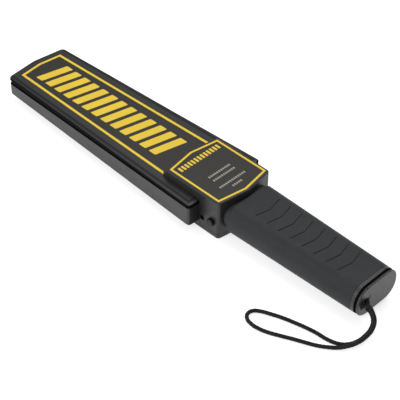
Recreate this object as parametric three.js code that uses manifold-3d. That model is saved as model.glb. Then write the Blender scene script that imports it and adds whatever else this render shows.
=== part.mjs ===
import * as THREE from 'three';
import { mergeVertices } from 'three/addons/utils/BufferGeometryUtils.js';
import Module from 'manifold-3d';

// Hand-held security metal detector wand, in millimetres.
// X runs from the blade's tip (negative) to the butt of the handle, Z is up, and the wand lies on its back.

// Driving dimensions of the blade, the flat paddle that holds the search coil
const bladeLength = 248;
const bladeTipWidth = 65;
const bladeRearWidth = 84;
const bladeLift = 6.8;
const bladeTipThickness = 19.4;
const bladeRearThickness = 22.4;
const seamTipHeight = 11.6;
const seamRearHeight = 19;
const tipPeak = 3.6;
const tipCornerRadius = 4.5;
const tipPeakRadius = 14;
const rearCornerRadius = 3;
const shoulderTipWidth = 4;
const shoulderRearWidth = 6;
const shoulderTipDrop = 2.2;
const shoulderRearDrop = 1;
const bladeChamfer = 1.2;

// Hood, the raised head over the electronics
const hoodWidth = 60;
const hoodHeight = 37.8;
const hoodOverlap = 39;
const hoodReach = 21.7;
const hoodFrontPeak = 4.4;
const hoodRearPeak = 4.6;
const hoodFrontLean = 5;
const hoodCornerRadius = 2.8;
const hoodEdgeRadius = 1.4;

// Moulded shells
const shellWall = 2.4;
const baseThickness = 3;
const seamGap = 0.3;
const grooveTipHeight = 4.2;
const grooveRearHeight = 1.7;
const grooveDepth = 1.3;

// Shallow recesses for the two labels
const labelSink = 0.35;
const bladeLabelInset = 10.2;
const bladeLabelTipWidth = 47.2;
const bladeLabelRearWidth = 57;
const bladeLabelPeak = 2.7;
const hoodLabelInset = 1.9;

// Handle
const handleAxisHeight = 18.5;
const gripStandoff = 5.3;
const handleLength = 135;
const gripFrontWidth = 54;
const gripButtWidth = 46.8;
const gripHeight = 28.2;
const gripCornerRadius = 12.6;
const gripWall = 2.2;
const coreWall = 1.8;
const chevronCount = 8;
const chevronInset = 23.5;
const chevronPitch = 12.2;
const chevronRise = 3;
const chevronReach = 14;
const chevronWidth = 0.9;
const chevronDepth = 0.7;

// End cap and its lanyard eye
const capReach = 7;
const capPlugLength = 10;
const capBandLength = 3.1;
const capGrooveLength = 2.5;
const capGrooveDepth = 1.5;
const capEdge = 0.5;
const capFloor = 0.7;
const lugLineWidth = 0.5;
const lugLineDepth = 0.6;
const lugFaceInset = 14.4;
const lugTopInset = 10.4;
const lugLineRise = 6;
const eyePostRadius = 1.25;
const eyeInset = 8.9;
const eyeHeight = 8.4;
const eyeDrop = 0.9;

// Wrist strap
const strapDiameter = 3.2;

// Clearances
const seatGap = 0.3;
const slideGap = 0.25;
const threadGap = 0.2;
const overrun = 1;
const leastRadius = 0.5;
const hair = 0.05;

// Numbers of facets
const cornerSteps = 5;
const sideSteps = 7;
const roundSides = 20;
const fineSides = 12;
const wireSides = 8;

const wandLength = bladeLength + hoodReach + gripStandoff + handleLength;
const tipX = -wandLength / 2;
const buttX = wandLength / 2;
const bladeRearX = tipX + bladeLength;
const hoodFrontX = bladeRearX - hoodOverlap;
const hoodRearX = bladeRearX + hoodReach;
const gripFrontX = hoodRearX + gripStandoff;
const chevronFirstX = gripFrontX + chevronInset;
const hoodInnerTop = hoodHeight - shellWall;
const hoodInnerSide = hoodWidth / 2 - shellWall;
const coreInset = gripWall + seatGap;
const boreInset = coreInset + coreWall;
const plugInset = boreInset + slideGap;
const capX = buttX - capReach;

const wasm = await Module();
wasm.setup();

// A closed solid from a geometry: only its positions are kept, and shared corners are joined.
function solid(geometry) {
  const bare = geometry.clone();
  bare.deleteAttribute('normal');
  bare.deleteAttribute('uv');
  const welded = mergeVertices(bare);
  const vertProperties = new Float32Array(welded.attributes.position.array);
  const triVerts = new Uint32Array(welded.index.array);
  return new wasm.Manifold(new wasm.Mesh({ numProp: 3, vertProperties, triVerts }));
}

function join(first, ...others) {
  return others.reduce((whole, piece) => whole.add(piece), first);
}

function cut(first, ...tools) {
  return tools.reduce((rest, tool) => rest.subtract(tool), first);
}

// A solid through rings of equally many points, each ring turning left about the way that the rings go.
function loft(rings) {
  const count = rings[0].length;
  const last = (rings.length - 1) * count;
  const index = [];
  for (let ring = 0; ring < rings.length - 1; ring += 1) {
    for (let k = 0; k < count; k += 1) {
      const a = ring * count + k;
      const b = ring * count + ((k + 1) % count);
      index.push(a, b, a + count, b, b + count, a + count);
    }
  }
  for (let k = 1; k < count - 1; k += 1) {
    index.push(0, k + 1, k, last, last + k, last + k + 1);
  }
  const geometry = new THREE.BufferGeometry().setFromPoints(rings.flat());
  geometry.setIndex(index);
  return solid(geometry);
}

// Outline of straight sides joined by arcs, one radius for each corner.
function rounded(corners, radii, steps) {
  return corners.flatMap((corner, i) => {
    const back = corners[(i + corners.length - 1) % corners.length].clone().sub(corner).normalize();
    const ahead = corners[(i + 1) % corners.length].clone().sub(corner).normalize();
    const half = Math.acos(back.dot(ahead)) / 2;
    const radius = Math.max(radii[i], leastRadius);
    const from = corner.clone().addScaledVector(back, radius / Math.tan(half));
    const middle = back.clone().add(ahead).normalize();
    const centre = corner.clone().addScaledVector(middle, radius / Math.sin(half));
    const turn = Math.PI - 2 * half;
    return Array.from({ length: steps + 1 }, (_, k) => from.clone().rotateAround(centre, (turn * k) / steps));
  });
}

function corner(x, y) {
  return new THREE.Vector2(x, y);
}

function point(x, y, z) {
  return new THREE.Vector3(x, y, z);
}

// A level ring of an outline, at one height or at a height that depends on x.
function ringAt(outline, height) {
  const rise = typeof height === 'function' ? height : () => height;
  return outline.map((p) => point(p.x, p.y, rise(p.x)));
}

function block(x0, x1, y0, y1, z0, z1) {
  const box = new THREE.BoxGeometry(x1 - x0, y1 - y0, z1 - z0);
  box.translate((x0 + x1) / 2, (y0 + y1) / 2, (z0 + z1) / 2);
  return solid(box);
}

// A round bar or cone from one point to another.
function rod(from, to, radius, sides = roundSides, endRadius = radius) {
  const way = to.clone().sub(from);
  const bar = new THREE.CylinderGeometry(endRadius, radius, way.length(), sides);
  bar.applyQuaternion(new THREE.Quaternion().setFromUnitVectors(point(0, 1, 0), way.clone().normalize()));
  bar.translate((from.x + to.x) / 2, (from.y + to.y) / 2, (from.z + to.z) / 2);
  return solid(bar);
}

function post(x, y, z0, z1, radius, sides = roundSides, topRadius = radius) {
  return rod(point(x, y, z0), point(x, y, z1), radius, sides, topRadius);
}

// A round-section tube along a smooth curve.
function tube(curve, diameter, steps, sides = wireSides) {
  const section = new THREE.Shape();
  for (let k = 0; k < sides; k += 1) {
    const angle = (2 * Math.PI * k) / sides;
    const x = (diameter / 2) * Math.cos(angle);
    const y = (diameter / 2) * Math.sin(angle);
    if (k === 0) section.moveTo(x, y);
    else section.lineTo(x, y);
  }
  return new THREE.ExtrudeGeometry(section, { steps, extrudePath: curve, bevelEnabled: false });
}

function geometryOf(body) {
  if (body.isBufferGeometry) return body;
  const { vertProperties, triVerts } = body.getMesh();
  const geometry = new THREE.BufferGeometry();
  geometry.setAttribute('position', new THREE.BufferAttribute(new Float32Array(vertProperties), 3));
  geometry.setIndex(new THREE.BufferAttribute(new Uint32Array(triVerts), 1));
  const faceted = geometry.toNonIndexed();
  faceted.computeVertexNormals();
  return faceted;
}

function finish(color, roughness, metalness = 0) {
  return new THREE.MeshStandardMaterial({ color, roughness, metalness });
}

const frontPlastic = finish('#3b3c3f', 0.42);
const rearPlastic = finish('#55555a', 0.5);
const gripRubber = finish('#3a3b3d', 0.7);
const capPlastic = finish('#3f4042', 0.45);
const darkPlastic = finish('#18181a', 0.5);
const strapWeave = finish('#151515', 0.9);
const boardGreen = finish('#1d5b38', 0.5);
const chipBlack = finish('#1b1b1d', 0.4);
const plainSteel = finish('#a9abae', 0.35, 1);
const enamelCopper = finish('#8f4a24', 0.4, 0.6);
const creamPlastic = finish('#d6cfb8', 0.6);
const foamGrey = finish('#4a4a4c', 0.95);
const bluePlastic = finish('#2c5fa8', 0.4);
const redLens = finish('#b3261e', 0.2);
const greenLens = finish('#2f9a48', 0.2);
const redWire = finish('#a62222', 0.5);
const blackWire = finish('#202022', 0.5);
const batteryCase = finish('#5c5f66', 0.35, 0.7);
const brass = finish('#b08d4a', 0.35, 1);

const group = new THREE.Group();

function add(name, body, material) {
  const mesh = new THREE.Mesh(geometryOf(body), material);
  mesh.name = name;
  group.add(mesh);
}

// Heights along the blade: the seam climbs towards the hood, and the top face climbs a little
function alongBlade(x, atTip, atRear) {
  return atTip + ((atRear - atTip) * (x - tipX)) / bladeLength;
}

const seamAt = (x) => bladeLift + alongBlade(x, seamTipHeight, seamRearHeight);
const bladeTopAt = (x) => bladeLift + alongBlade(x, bladeTipThickness, bladeRearThickness);
const shoulderDropAt = (x) => alongBlade(x, shoulderTipDrop, shoulderRearDrop);
const grooveTopAt = (x) => seamAt(x) + alongBlade(x, grooveTipHeight, grooveRearHeight);
const bladeHalfAt = (x) => alongBlade(x, bladeTipWidth, bladeRearWidth) / 2;

// The blade seen from above: a long trapezium with a low peak at the tip
function bladeOutline(tipInset, rearInset = tipInset) {
  const tipHalf = bladeTipWidth / 2 - tipInset;
  const rearHalf = bladeRearWidth / 2 - rearInset;
  const corners = [
    corner(bladeRearX - rearInset, -rearHalf),
    corner(bladeRearX - rearInset, rearHalf),
    corner(tipX + tipPeak + tipInset, tipHalf),
    corner(tipX + tipInset, 0),
    corner(tipX + tipPeak + tipInset, -tipHalf),
  ];
  const rear = rearCornerRadius - rearInset;
  const tip = tipCornerRadius - tipInset;
  return rounded(corners, [rear, rear, tip, tipPeakRadius, tip], cornerSteps);
}

// The hood seen from above: a box with a low peak at each end; its front face leans towards the tip
function hoodOutline(inset, lean = 0) {
  const half = hoodWidth / 2 - inset;
  const front = hoodFrontX + inset - lean;
  const rear = hoodRearX - inset;
  const corners = [
    corner(front, -half),
    corner(rear, -half),
    corner(rear + hoodRearPeak, 0),
    corner(rear, half),
    corner(front, half),
    corner(front - hoodFrontPeak, 0),
  ];
  const side = hoodCornerRadius - inset;
  return rounded(corners, [side, side, hoodCornerRadius, side, side, hoodCornerRadius], cornerSteps);
}

// Outer and inner form of the whole housing, before it is parted into two shells
function bladeOuter() {
  const shoulder = [0, 1, 2, 3].map((k) => {
    const angle = (Math.PI / 6) * k;
    const share = 1 - Math.cos(angle);
    const outline = bladeOutline(shoulderTipWidth * share, shoulderRearWidth * share);
    return ringAt(outline, (x) => bladeTopAt(x) - shoulderDropAt(x) * (1 - Math.sin(angle)));
  });
  return loft([
    ringAt(bladeOutline(bladeChamfer), bladeLift),
    ringAt(bladeOutline(0), bladeLift + bladeChamfer),
    ...shoulder,
  ]);
}

function hoodOuter(inset = 0) {
  const edge = [0, 1, 2, 3].map((k) => {
    const angle = (Math.PI / 6) * k;
    const outline = hoodOutline(inset + hoodEdgeRadius * (1 - Math.cos(angle)));
    return ringAt(outline, hoodHeight - hoodEdgeRadius * (1 - Math.sin(angle)));
  });
  const leanTop = bladeTopAt(hoodFrontX);
  return loft([
    ringAt(hoodOutline(inset, hoodFrontLean), 0),
    ringAt(hoodOutline(inset, hoodFrontLean), leanTop),
    ...edge,
  ]);
}

function bladeInner() {
  return loft([
    ringAt(bladeOutline(shellWall), bladeLift + shellWall),
    ringAt(bladeOutline(shellWall), (x) => bladeTopAt(x) - shellWall - shoulderDropAt(x)),
    ringAt(
      bladeOutline(shellWall + shoulderTipWidth, shellWall + shoulderRearWidth),
      (x) => bladeTopAt(x) - shellWall,
    ),
  ]);
}

function hoodInner() {
  const leanTop = bladeTopAt(hoodFrontX);
  return loft([
    ringAt(hoodOutline(shellWall, hoodFrontLean), baseThickness),
    ringAt(hoodOutline(shellWall, hoodFrontLean), leanTop),
    ringAt(hoodOutline(shellWall), hoodInnerTop),
  ]);
}

// The space below the parting: under the climbing seam at the blade, and under the hood's walls behind it
function belowParting(gap) {
  const farX = hoodRearX + hoodRearPeak + overrun;
  const stepX = bladeRearX + seatGap + gap;
  const startX = tipX - overrun;
  const side = new THREE.Shape([
    corner(startX, -overrun),
    corner(farX, -overrun),
    corner(farX, baseThickness + gap),
    corner(stepX, baseThickness + gap),
    corner(stepX, seamAt(stepX) + gap),
    corner(startX, seamAt(startX) + gap),
  ]);
  const width = bladeRearWidth + 2 * overrun;
  const slab = new THREE.ExtrudeGeometry(side, { depth: width, bevelEnabled: false });
  slab.rotateX(Math.PI / 2);
  slab.translate(0, width / 2, 0);
  return solid(slab);
}

// The dark shadow line that runs round the blade just over the parting
function seamGroove() {
  const band = (outline, extra) => loft([
    ringAt(outline, (x) => seamAt(x) - extra),
    ringAt(outline, (x) => grooveTopAt(x) + extra),
  ]);
  return cut(band(bladeOutline(-overrun), 0), band(bladeOutline(grooveDepth), overrun), hoodOuter());
}

// The labels' recesses: one up the blade as far as the hood, and one all over the hood's top
function labelRecesses() {
  const tipHalf = bladeLabelTipWidth / 2;
  const rearHalf = bladeLabelRearWidth / 2;
  const startX = tipX + bladeLabelInset;
  const corners = [
    corner(hoodFrontX, -rearHalf),
    corner(hoodFrontX, rearHalf),
    corner(startX, tipHalf),
    corner(startX - bladeLabelPeak, 0),
    corner(startX, -tipHalf),
  ];
  const blade = loft([
    ringAt(corners, (x) => bladeTopAt(x) - labelSink),
    ringAt(corners, (x) => bladeTopAt(x) + overrun),
  ]);
  const hood = loft([
    ringAt(hoodOutline(hoodLabelInset), hoodHeight - labelSink),
    ringAt(hoodOutline(hoodLabelInset), hoodHeight + overrun),
  ]);
  return join(cut(blade, hoodOuter()), hood);
}

// Case screws: from behind, through the rear shell into posts of the front shell
const screwHeadRadius = 2.4;
const screwHeadHeight = 1.5;
const screwRadius = 1.2;
const screwPointLength = 1.5;
const screwBite = 7;
const screwSink = 0.3;
const casePostRadius = 3.1;
const casePostGap = 0.8;
const tipScrewInset = 18;
const middleScrewShare = 0.655;
const hoodScrewInset = 4.6;
const hoodFrontScrewInset = 5;
const hoodRearScrewInset = 6;
const frontScrewX = tipX + tipScrewInset;
const middleScrewX = frontScrewX + (hoodFrontX - frontScrewX) * middleScrewShare;
const hoodFrontScrewX = hoodFrontX + hoodFrontScrewInset;
const hoodRearScrewX = bladeRearX - hoodRearScrewInset;

const besideBladeWall = (x) => bladeHalfAt(x) - shellWall - casePostRadius - casePostGap;
const hoodScrewY = hoodWidth / 2 - shellWall - hoodScrewInset;
const inBlade = (x) => ({ x, y: besideBladeWall(x), skin: bladeLift, thick: shellWall, top: bladeTopAt(x) });
const inHood = (x) => ({ x, y: hoodScrewY, skin: 0, thick: baseThickness, top: hoodHeight });
const caseScrews = [
  inBlade(frontScrewX),
  inBlade(middleScrewX),
  inHood(hoodFrontScrewX),
  inHood(hoodRearScrewX),
].flatMap((place) => [{ ...place, y: -place.y }, place]);

// A countersunk self-tapping screw that points up, its head at the given height
function screwBody(x, y, headZ, length) {
  const neck = headZ + screwHeadHeight;
  const tip = neck + length;
  return join(
    post(x, y, headZ, neck, screwHeadRadius, fineSides, screwRadius),
    post(x, y, neck - hair, tip - screwPointLength, screwRadius, fineSides),
    post(x, y, tip - screwPointLength - hair, tip, screwRadius, fineSides, screwRadius / 4),
  );
}

// The hole that such a screw needs: a countersunk seat and a clearance hole
function screwSeat(x, y, outerZ, thickness) {
  const headZ = outerZ + screwSink;
  const seatRadius = screwHeadRadius + threadGap;
  return join(
    post(x, y, outerZ - overrun, headZ + hair, seatRadius, fineSides),
    post(x, y, headZ, headZ + screwHeadHeight, seatRadius, fineSides, screwRadius + threadGap),
    post(x, y, headZ, outerZ + thickness + overrun, screwRadius + threadGap, fineSides),
  );
}

const postFootAt = (screw) => screw.skin + screw.thick + seatGap;
const screwLength = screwBite + baseThickness;

// Sockets, switches and lamps of the hood, along both side walls
const controlInset = 7.7;
const controlHeight = 14.5;
const jackSpacing = 10.6;
const controlX = hoodRearX - controlInset;
const jackX = controlX - jackSpacing;
const jackHeight = 12;
const buttonRadius = 3.5;
const buttonProud = 2.9;
const buttonFlangeRadius = 4.6;
const buttonFlange = 1.2;
const buttonTravel = 0.8;
const buttonStemRadius = 1.4;
const jackBarrelRadius = 2.4;
const jackSink = 0.5;
const jackBoreRadius = 1.75;
const switchInset = 12.7;
const switchX = hoodRearX - switchInset;
const switchHeight = 14;
const switchStep = 2.5;
const knobStemLength = 3;
const knobStemHeight = 2.4;
const knobLength = 6;
const knobHeight = 5;
const knobProud = 2.2;
const lampHeight = 24;
const lampSpacing = 8;
const redLampX = switchX - lampSpacing / 2;
const greenLampX = switchX + lampSpacing / 2;
const lampRadius = 1.5;
const lampProud = 1;
const lampFlange = 0.8;
const lampBody = 3.6;
const sideWallY = hoodWidth / 2;
const slotHalf = knobStemLength / 2 + switchStep + slideGap;

function sideOpenings() {
  const near = -sideWallY - overrun;
  const nearIn = -hoodInnerSide + overrun;
  const far = sideWallY + overrun;
  const farIn = hoodInnerSide - overrun;
  const nearHole = (x, z, radius) => rod(point(x, near, z), point(x, nearIn, z), radius + slideGap);
  const lampHole = (x) => (
    rod(point(x, farIn, lampHeight), point(x, far, lampHeight), lampRadius + slideGap, fineSides)
  );
  return join(
    nearHole(controlX, controlHeight, buttonRadius),
    nearHole(jackX, jackHeight, jackBarrelRadius),
    block(
      switchX - slotHalf, switchX + slotHalf, farIn, far,
      switchHeight - knobStemHeight / 2 - slideGap, switchHeight + knobStemHeight / 2 + slideGap,
    ),
    lampHole(redLampX),
    lampHole(greenLampX),
  );
}

// Handle sections: a flat-topped oval that tapers towards the butt
function handleRing(x, inset) {
  const taper = (x - gripFrontX) / (buttX - gripFrontX);
  const half = (gripFrontWidth + (gripButtWidth - gripFrontWidth) * taper) / 2 - inset;
  const high = gripHeight / 2 - inset;
  const corners = [corner(-half, -high), corner(half, -high), corner(half, high), corner(-half, high)];
  const radius = gripCornerRadius - inset;
  const outline = rounded(corners, [radius, radius, radius, radius], sideSteps);
  return outline.map((p) => point(x, p.x, handleAxisHeight + p.y));
}

function handleBar(x0, x1, inset) {
  return loft([handleRing(x0, inset), handleRing(x1, inset)]);
}

// The inner tube of the handle carries the battery; a lip at its front end holds it inside the hood
const coreLipHalf = 12;
const coreLipRise = 2;
const coreLipThickness = 2;
const coreFrontX = hoodRearX - shellWall + seatGap;
const coreScrewX = coreFrontX + screwHeadRadius;
const coreBossRadius = 2.2;
const coreRearX = capX - seatGap;

function coreTube() {
  const outerTop = gripHeight / 2 - coreInset;
  const lip = block(
    coreFrontX, coreFrontX + coreLipThickness, -coreLipHalf, coreLipHalf,
    handleAxisHeight - outerTop - coreLipRise, handleAxisHeight + outerTop + coreLipRise,
  );
  const underside = handleAxisHeight - outerTop;
  const boss = post(coreScrewX, 0, baseThickness + seatGap, underside + coreWall / 2, coreBossRadius);
  const pilot = post(coreScrewX, 0, 0, underside + coreWall + overrun, screwRadius + threadGap, fineSides);
  const bore = handleBar(coreFrontX - overrun, coreRearX + overrun, boreInset);
  return cut(join(handleBar(coreFrontX, coreRearX, coreInset), lip, boss), bore, pilot);
}

// The two shells
const bladeForm = bladeOuter();
const hoodForm = hoodOuter();
const hollow = join(bladeInner(), hoodInner());
const housing = cut(join(bladeForm, hoodForm), hollow);
const handleHole = handleBar(coreFrontX - overrun, gripFrontX + overrun, coreInset - seatGap);
const coreBossRoom = post(coreScrewX, 0, 0, handleAxisHeight, coreBossRadius + seatGap);

// Ribs under the blade's top skin
const ribThickness = 1.4;
const ribDepth = 2.6;
const ribCount = 6;
const ribShare = 0.86;

function topRibs() {
  const ribs = Array.from({ length: ribCount }, (_, k) => {
    const x = frontScrewX + ((hoodFrontX - hoodFrontLean - frontScrewX) * (k + 0.5)) / ribCount;
    const half = (bladeHalfAt(x) - shellWall) * ribShare;
    const roof = bladeTopAt(x) - shellWall;
    return block(x - ribThickness / 2, x + ribThickness / 2, -half, half, roof - ribDepth, roof + hair);
  });
  return join(...ribs);
}

// Vibration motor, slung under the hood's top by two saddles
const motorRadius = 4.5;
const motorLength = 16;
const motorInset = 16;
const motorX = hoodFrontX + motorInset;
const motorY = 2;
const motorDrop = 3;
const motorShaftRadius = 0.75;
const motorShaftLength = 5.5;
const saddleWidth = 2.4;
const motorZ = hoodInnerTop - motorDrop - motorRadius;

function motorSaddles() {
  const reach = motorRadius + seatGap;
  const arms = [-1, 1].map((side) => {
    const y = motorY + (side * motorLength) / 4;
    return block(
      motorX - reach - saddleWidth, motorX + reach + saddleWidth,
      y - saddleWidth / 2, y + saddleWidth / 2, motorZ, hoodInnerTop + hair,
    );
  });
  const room = rod(
    point(motorX, motorY - motorLength, motorZ),
    point(motorX, motorY + motorLength, motorZ),
    reach,
  );
  return cut(join(...arms), room);
}

function frontShell() {
  const shell = cut(housing, belowParting(seamGap), seamGroove(), labelRecesses());
  const pilotHeight = screwSink + screwHeadHeight + screwLength + seatGap;
  const posts = caseScrews.map((s) => (
    post(s.x, s.y, postFootAt(s), s.top - shellWall + hair, casePostRadius)
  ));
  const pilots = caseScrews.map((s) => (
    post(s.x, s.y, s.skin, s.skin + pilotHeight, screwRadius + threadGap, fineSides)
  ));
  const withPosts = join(shell, topRibs(), motorSaddles(), ...posts);
  return cut(withPosts, sideOpenings(), handleHole, coreBossRoom, ...pilots);
}

add('front_shell', frontShell(), frontPlastic);

// The rear shell carries the board on two pillars and lets the buzzer's sound out through small holes
const boardThickness = 1.6;
const boardGapUnder = 4.2;
const boardZ = baseThickness + boardGapUnder;
const pillarRadius = 2.6;
const boardFrontInset = 0.5;
const boardRearInset = 4.7;
const boardPostGap = 1.9;
const boardWallGap = 1.1;
const boardFrontX = hoodFrontX + boardFrontInset;
const boardRearX = hoodRearX - boardRearInset;
const boardStepX = hoodRearScrewX + casePostRadius + boardPostGap;
const boardNarrow = 2 * (hoodScrewY - casePostRadius - boardPostGap);
const boardWide = 2 * (hoodInnerSide - boardWallGap);
const boardScrewXs = [boardFrontX + 2 * pillarRadius, boardRearX - 2 * pillarRadius];
const buzzerInset = 26;
const buzzerX = hoodFrontX + buzzerInset;
const buzzerRadius = 11;
const buzzerHeight = 3.2;
const soundHoleRadius = 1;
const soundHoleRing = 5;
const soundHoleCount = 6;

function soundHoles() {
  const places = Array.from({ length: soundHoleCount }, (_, k) => {
    const angle = (2 * Math.PI * k) / soundHoleCount;
    return [buzzerX + soundHoleRing * Math.cos(angle), soundHoleRing * Math.sin(angle)];
  });
  const holes = [[buzzerX, 0], ...places].map(([x, y]) => (
    post(x, y, -overrun, baseThickness + overrun, soundHoleRadius, fineSides)
  ));
  return join(...holes);
}

function rearShell() {
  const shell = housing.intersect(belowParting(0));
  const pillars = boardScrewXs.map((x) => post(x, 0, baseThickness - hair, boardZ - seatGap, pillarRadius));
  const pilots = boardScrewXs.map((x) => (
    post(x, 0, baseThickness / 2, boardZ, screwRadius + threadGap, fineSides)
  ));
  const seats = caseScrews.map((s) => screwSeat(s.x, s.y, s.skin, s.thick));
  const coreSeat = screwSeat(coreScrewX, 0, 0, baseThickness);
  return cut(join(shell, ...pillars), soundHoles(), coreSeat, ...seats, ...pilots);
}

add('rear_shell', rearShell(), rearPlastic);

caseScrews.forEach((s, k) => {
  add(`case_screw_${k + 1}`, screwBody(s.x, s.y, s.skin + screwSink, screwLength), plainSteel);
});

const coreScrewLength = gripHeight / 2 - boreInset;
const coreScrewTop = handleAxisHeight - coreScrewLength - seatGap;
add(
  'handle_screw',
  screwBody(coreScrewX, 0, screwSink, coreScrewTop - screwSink - screwHeadHeight),
  plainSteel,
);

// Handle: inner tube, and the rubber grip over it with chevron grooves across its top
add('handle_core', coreTube(), darkPlastic);

const gripEdge = 1.2;

function chevronGroove(apexX) {
  const armX = apexX - chevronRise;
  const plan = new THREE.Shape([
    corner(apexX - chevronWidth / 2, 0),
    corner(armX - chevronWidth / 2, -chevronReach),
    corner(armX + chevronWidth / 2, -chevronReach),
    corner(apexX + chevronWidth / 2, 0),
    corner(armX + chevronWidth / 2, chevronReach),
    corner(armX - chevronWidth / 2, chevronReach),
  ]);
  const depth = chevronDepth + overrun;
  const bar = new THREE.ExtrudeGeometry(plan, { depth, bevelEnabled: false });
  bar.translate(0, 0, handleAxisHeight + gripHeight / 2 - chevronDepth);
  return solid(bar);
}

function grip() {
  const rearX = capX - seatGap;
  const sleeve = loft([
    handleRing(gripFrontX, gripEdge),
    handleRing(gripFrontX + gripEdge / 3, gripEdge / 3),
    handleRing(gripFrontX + gripEdge, 0),
    handleRing(rearX, 0),
  ]);
  const room = handleBar(gripFrontX - overrun, rearX + overrun, gripWall);
  const apexes = Array.from({ length: chevronCount }, (_, k) => chevronFirstX + chevronPitch * k);
  const grooves = apexes.map((x) => chevronGroove(x));
  return cut(sleeve, room, ...grooves);
}

add('grip_sleeve', grip(), gripRubber);

// End cap: a plug inside the tube, a band flush with the grip, a shadow groove and a face plate,
// with a pocket near one corner where a post takes the strap
const eyeX = buttX - eyePostRadius - capEdge / 2;
const eyeY = -(gripButtWidth / 2 - eyeInset);
const eyeZ = handleAxisHeight - eyeDrop;
const eyeRoomRadius = eyePostRadius + strapDiameter + slideGap * 2;
const eyeLow = eyeZ - eyeHeight / 2;
const eyeHigh = eyeZ + eyeHeight / 2;
const plugHollow = 6;
const plugWall = 2;

function endCap() {
  const grooveX = capX + capBandLength;
  const faceX = grooveX + capGrooveLength;
  const body = join(
    handleBar(capX - capPlugLength, capX + hair, plugInset),
    loft([
      handleRing(capX, 0),
      handleRing(grooveX, 0),
      handleRing(grooveX + capEdge / 2, capGrooveDepth),
      handleRing(faceX - capEdge / 2, capGrooveDepth),
      handleRing(faceX, 0),
      handleRing(buttX - capEdge, 0),
      handleRing(buttX, capEdge),
    ]),
  );
  const plugX = capX - capPlugLength;
  const hollowPlug = handleBar(plugX - overrun, plugX + plugHollow, plugInset + plugWall);
  const around = post(eyeX, eyeY, eyeLow, eyeHigh, eyeRoomRadius);
  const reach = block(capX + capFloor, buttX + eyeRoomRadius, eyeY - eyeRoomRadius, 0, eyeLow, eyeHigh);
  const room = cut(around.intersect(reach), post(eyeX, eyeY, 0, hoodHeight, eyePostRadius, fineSides));
  return cut(body, hollowPlug, room, ...lugLines());
}

// The parting line of the corner that carries the post: down the face, and across the band's top
function lugLines() {
  const faceY = lugFaceInset - gripButtWidth / 2;
  const topY = lugTopInset - gripButtWidth / 2;
  const top = handleAxisHeight + gripHeight / 2;
  return [
    block(
      buttX - lugLineDepth, buttX + overrun, faceY, faceY + lugLineWidth,
      eyeZ, handleAxisHeight + lugLineRise,
    ),
    block(
      capX + capFloor, buttX + overrun, topY, topY + lugLineWidth,
      top - lugLineDepth, top + overrun,
    ),
  ];
}

add('end_cap', endCap(), capPlastic);

// Wrist strap: one loop of round cord, doubled from the eye and laid on the table
const hitchRadius = eyePostRadius + slideGap / 2 + strapDiameter / 2;
const hitchTurns = 2;

function strapHitch() {
  const inner = hitchRadius - strapDiameter / 2;
  const outer = hitchRadius + strapDiameter / 2;
  const half = (strapDiameter * hitchTurns) / 2;
  const round = strapDiameter / 4;
  const profile = [
    corner(inner, round - half),
    corner(inner + round, -half),
    corner(outer - round, -half),
    corner(outer, round - half),
    corner(outer, half - round),
    corner(outer - round, half),
    corner(inner + round, half),
    corner(inner, half - round),
    corner(inner, round - half),
  ];
  const ring = new THREE.LatheGeometry(profile, roundSides);
  ring.rotateX(Math.PI / 2);
  ring.translate(eyeX, eyeY, eyeZ);
  return solid(ring);
}

add('strap_hitch', strapHitch(), strapWeave);

// Route of the strap's centre line, chosen by hand
const strapRoute = [
  [208.8, -16.3, 19.6],
  [211.4, -16.3, 19.4],
  [215.1, -16.9, 16.4],
  [218.5, -18.4, 12.3],
  [220.5, -22.4, 8.1],
  [220.8, -29.4, 5.3],
  [219.6, -39.5, 4.4],
  [215.8, -46.8, 3.3],
  [210.7, -52.0, 2.0],
  [204.4, -57.0, 1.8],
  [198.0, -61.0, 1.7],
  [190.4, -64.6, 1.7],
  [182.0, -68.4, 1.7],
  [173.0, -72.8, 1.7],
  [164.0, -76.9, 1.7],
  [156.0, -79.2, 1.7],
  [149.0, -79.6, 1.7],
  [143.2, -77.9, 1.7],
  [139.9, -73.9, 1.7],
  [140.6, -69.0, 1.7],
  [145.0, -65.2, 1.7],
  [152.6, -61.6, 1.7],
  [162.0, -58.0, 1.7],
  [172.4, -55.0, 1.7],
  [182.4, -52.6, 1.7],
  [191.4, -51.2, 1.7],
  [198.4, -50.7, 1.7],
  [204.8, -49.4, 1.7],
  [209.7, -47.3, 1.7],
  [213.7, -43.8, 1.8],
  [217.0, -37.0, 1.8],
  [217.8, -27.1, 2.0],
  [217.4, -20.3, 4.4],
  [215.6, -16.4, 8.3],
  [213.1, -15.4, 12.2],
  [211.2, -15.7, 14.7],
  [208.8, -16.2, 15.7],
];
const strapCurve = new THREE.CatmullRomCurve3(strapRoute.map(([x, y, z]) => point(x, y, z)));
const strapSteps = 64;

// Least clear gap between parts of the strap that are further apart along it than a few diameters
function leastGap(curve, diameter, steps) {
  const places = curve.getSpacedPoints(steps);
  const apart = Math.ceil((3 * diameter * steps) / curve.getLength());
  const gaps = places.flatMap((p, i) => places.slice(i + apart).map((q) => p.distanceTo(q) - diameter));
  return Math.min(...gaps);
}

const strapGap = leastGap(strapCurve, strapDiameter, 4 * strapSteps);
console.log(`least gap between the strap's runs: ${strapGap.toFixed(2)} mm`);
add('strap_cord', tube(strapCurve, strapDiameter, strapSteps), strapWeave);

// Battery at the butt end of the handle, with its snap connector and leads
const batteryLength = 46.5;
const batteryWidth = 26.5;
const batteryThickness = 17.5;
const batteryEdge = 1.5;
const terminalHeight = 2.6;
const terminalRadius = 3;
const terminalSpacing = 12.7;
const padThickness = 1.5;
const padX = capX - capPlugLength + plugHollow - padThickness - seatGap;
const batteryRearX = capX - capPlugLength - seatGap;
const batteryFrontX = batteryRearX - batteryLength;

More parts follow.
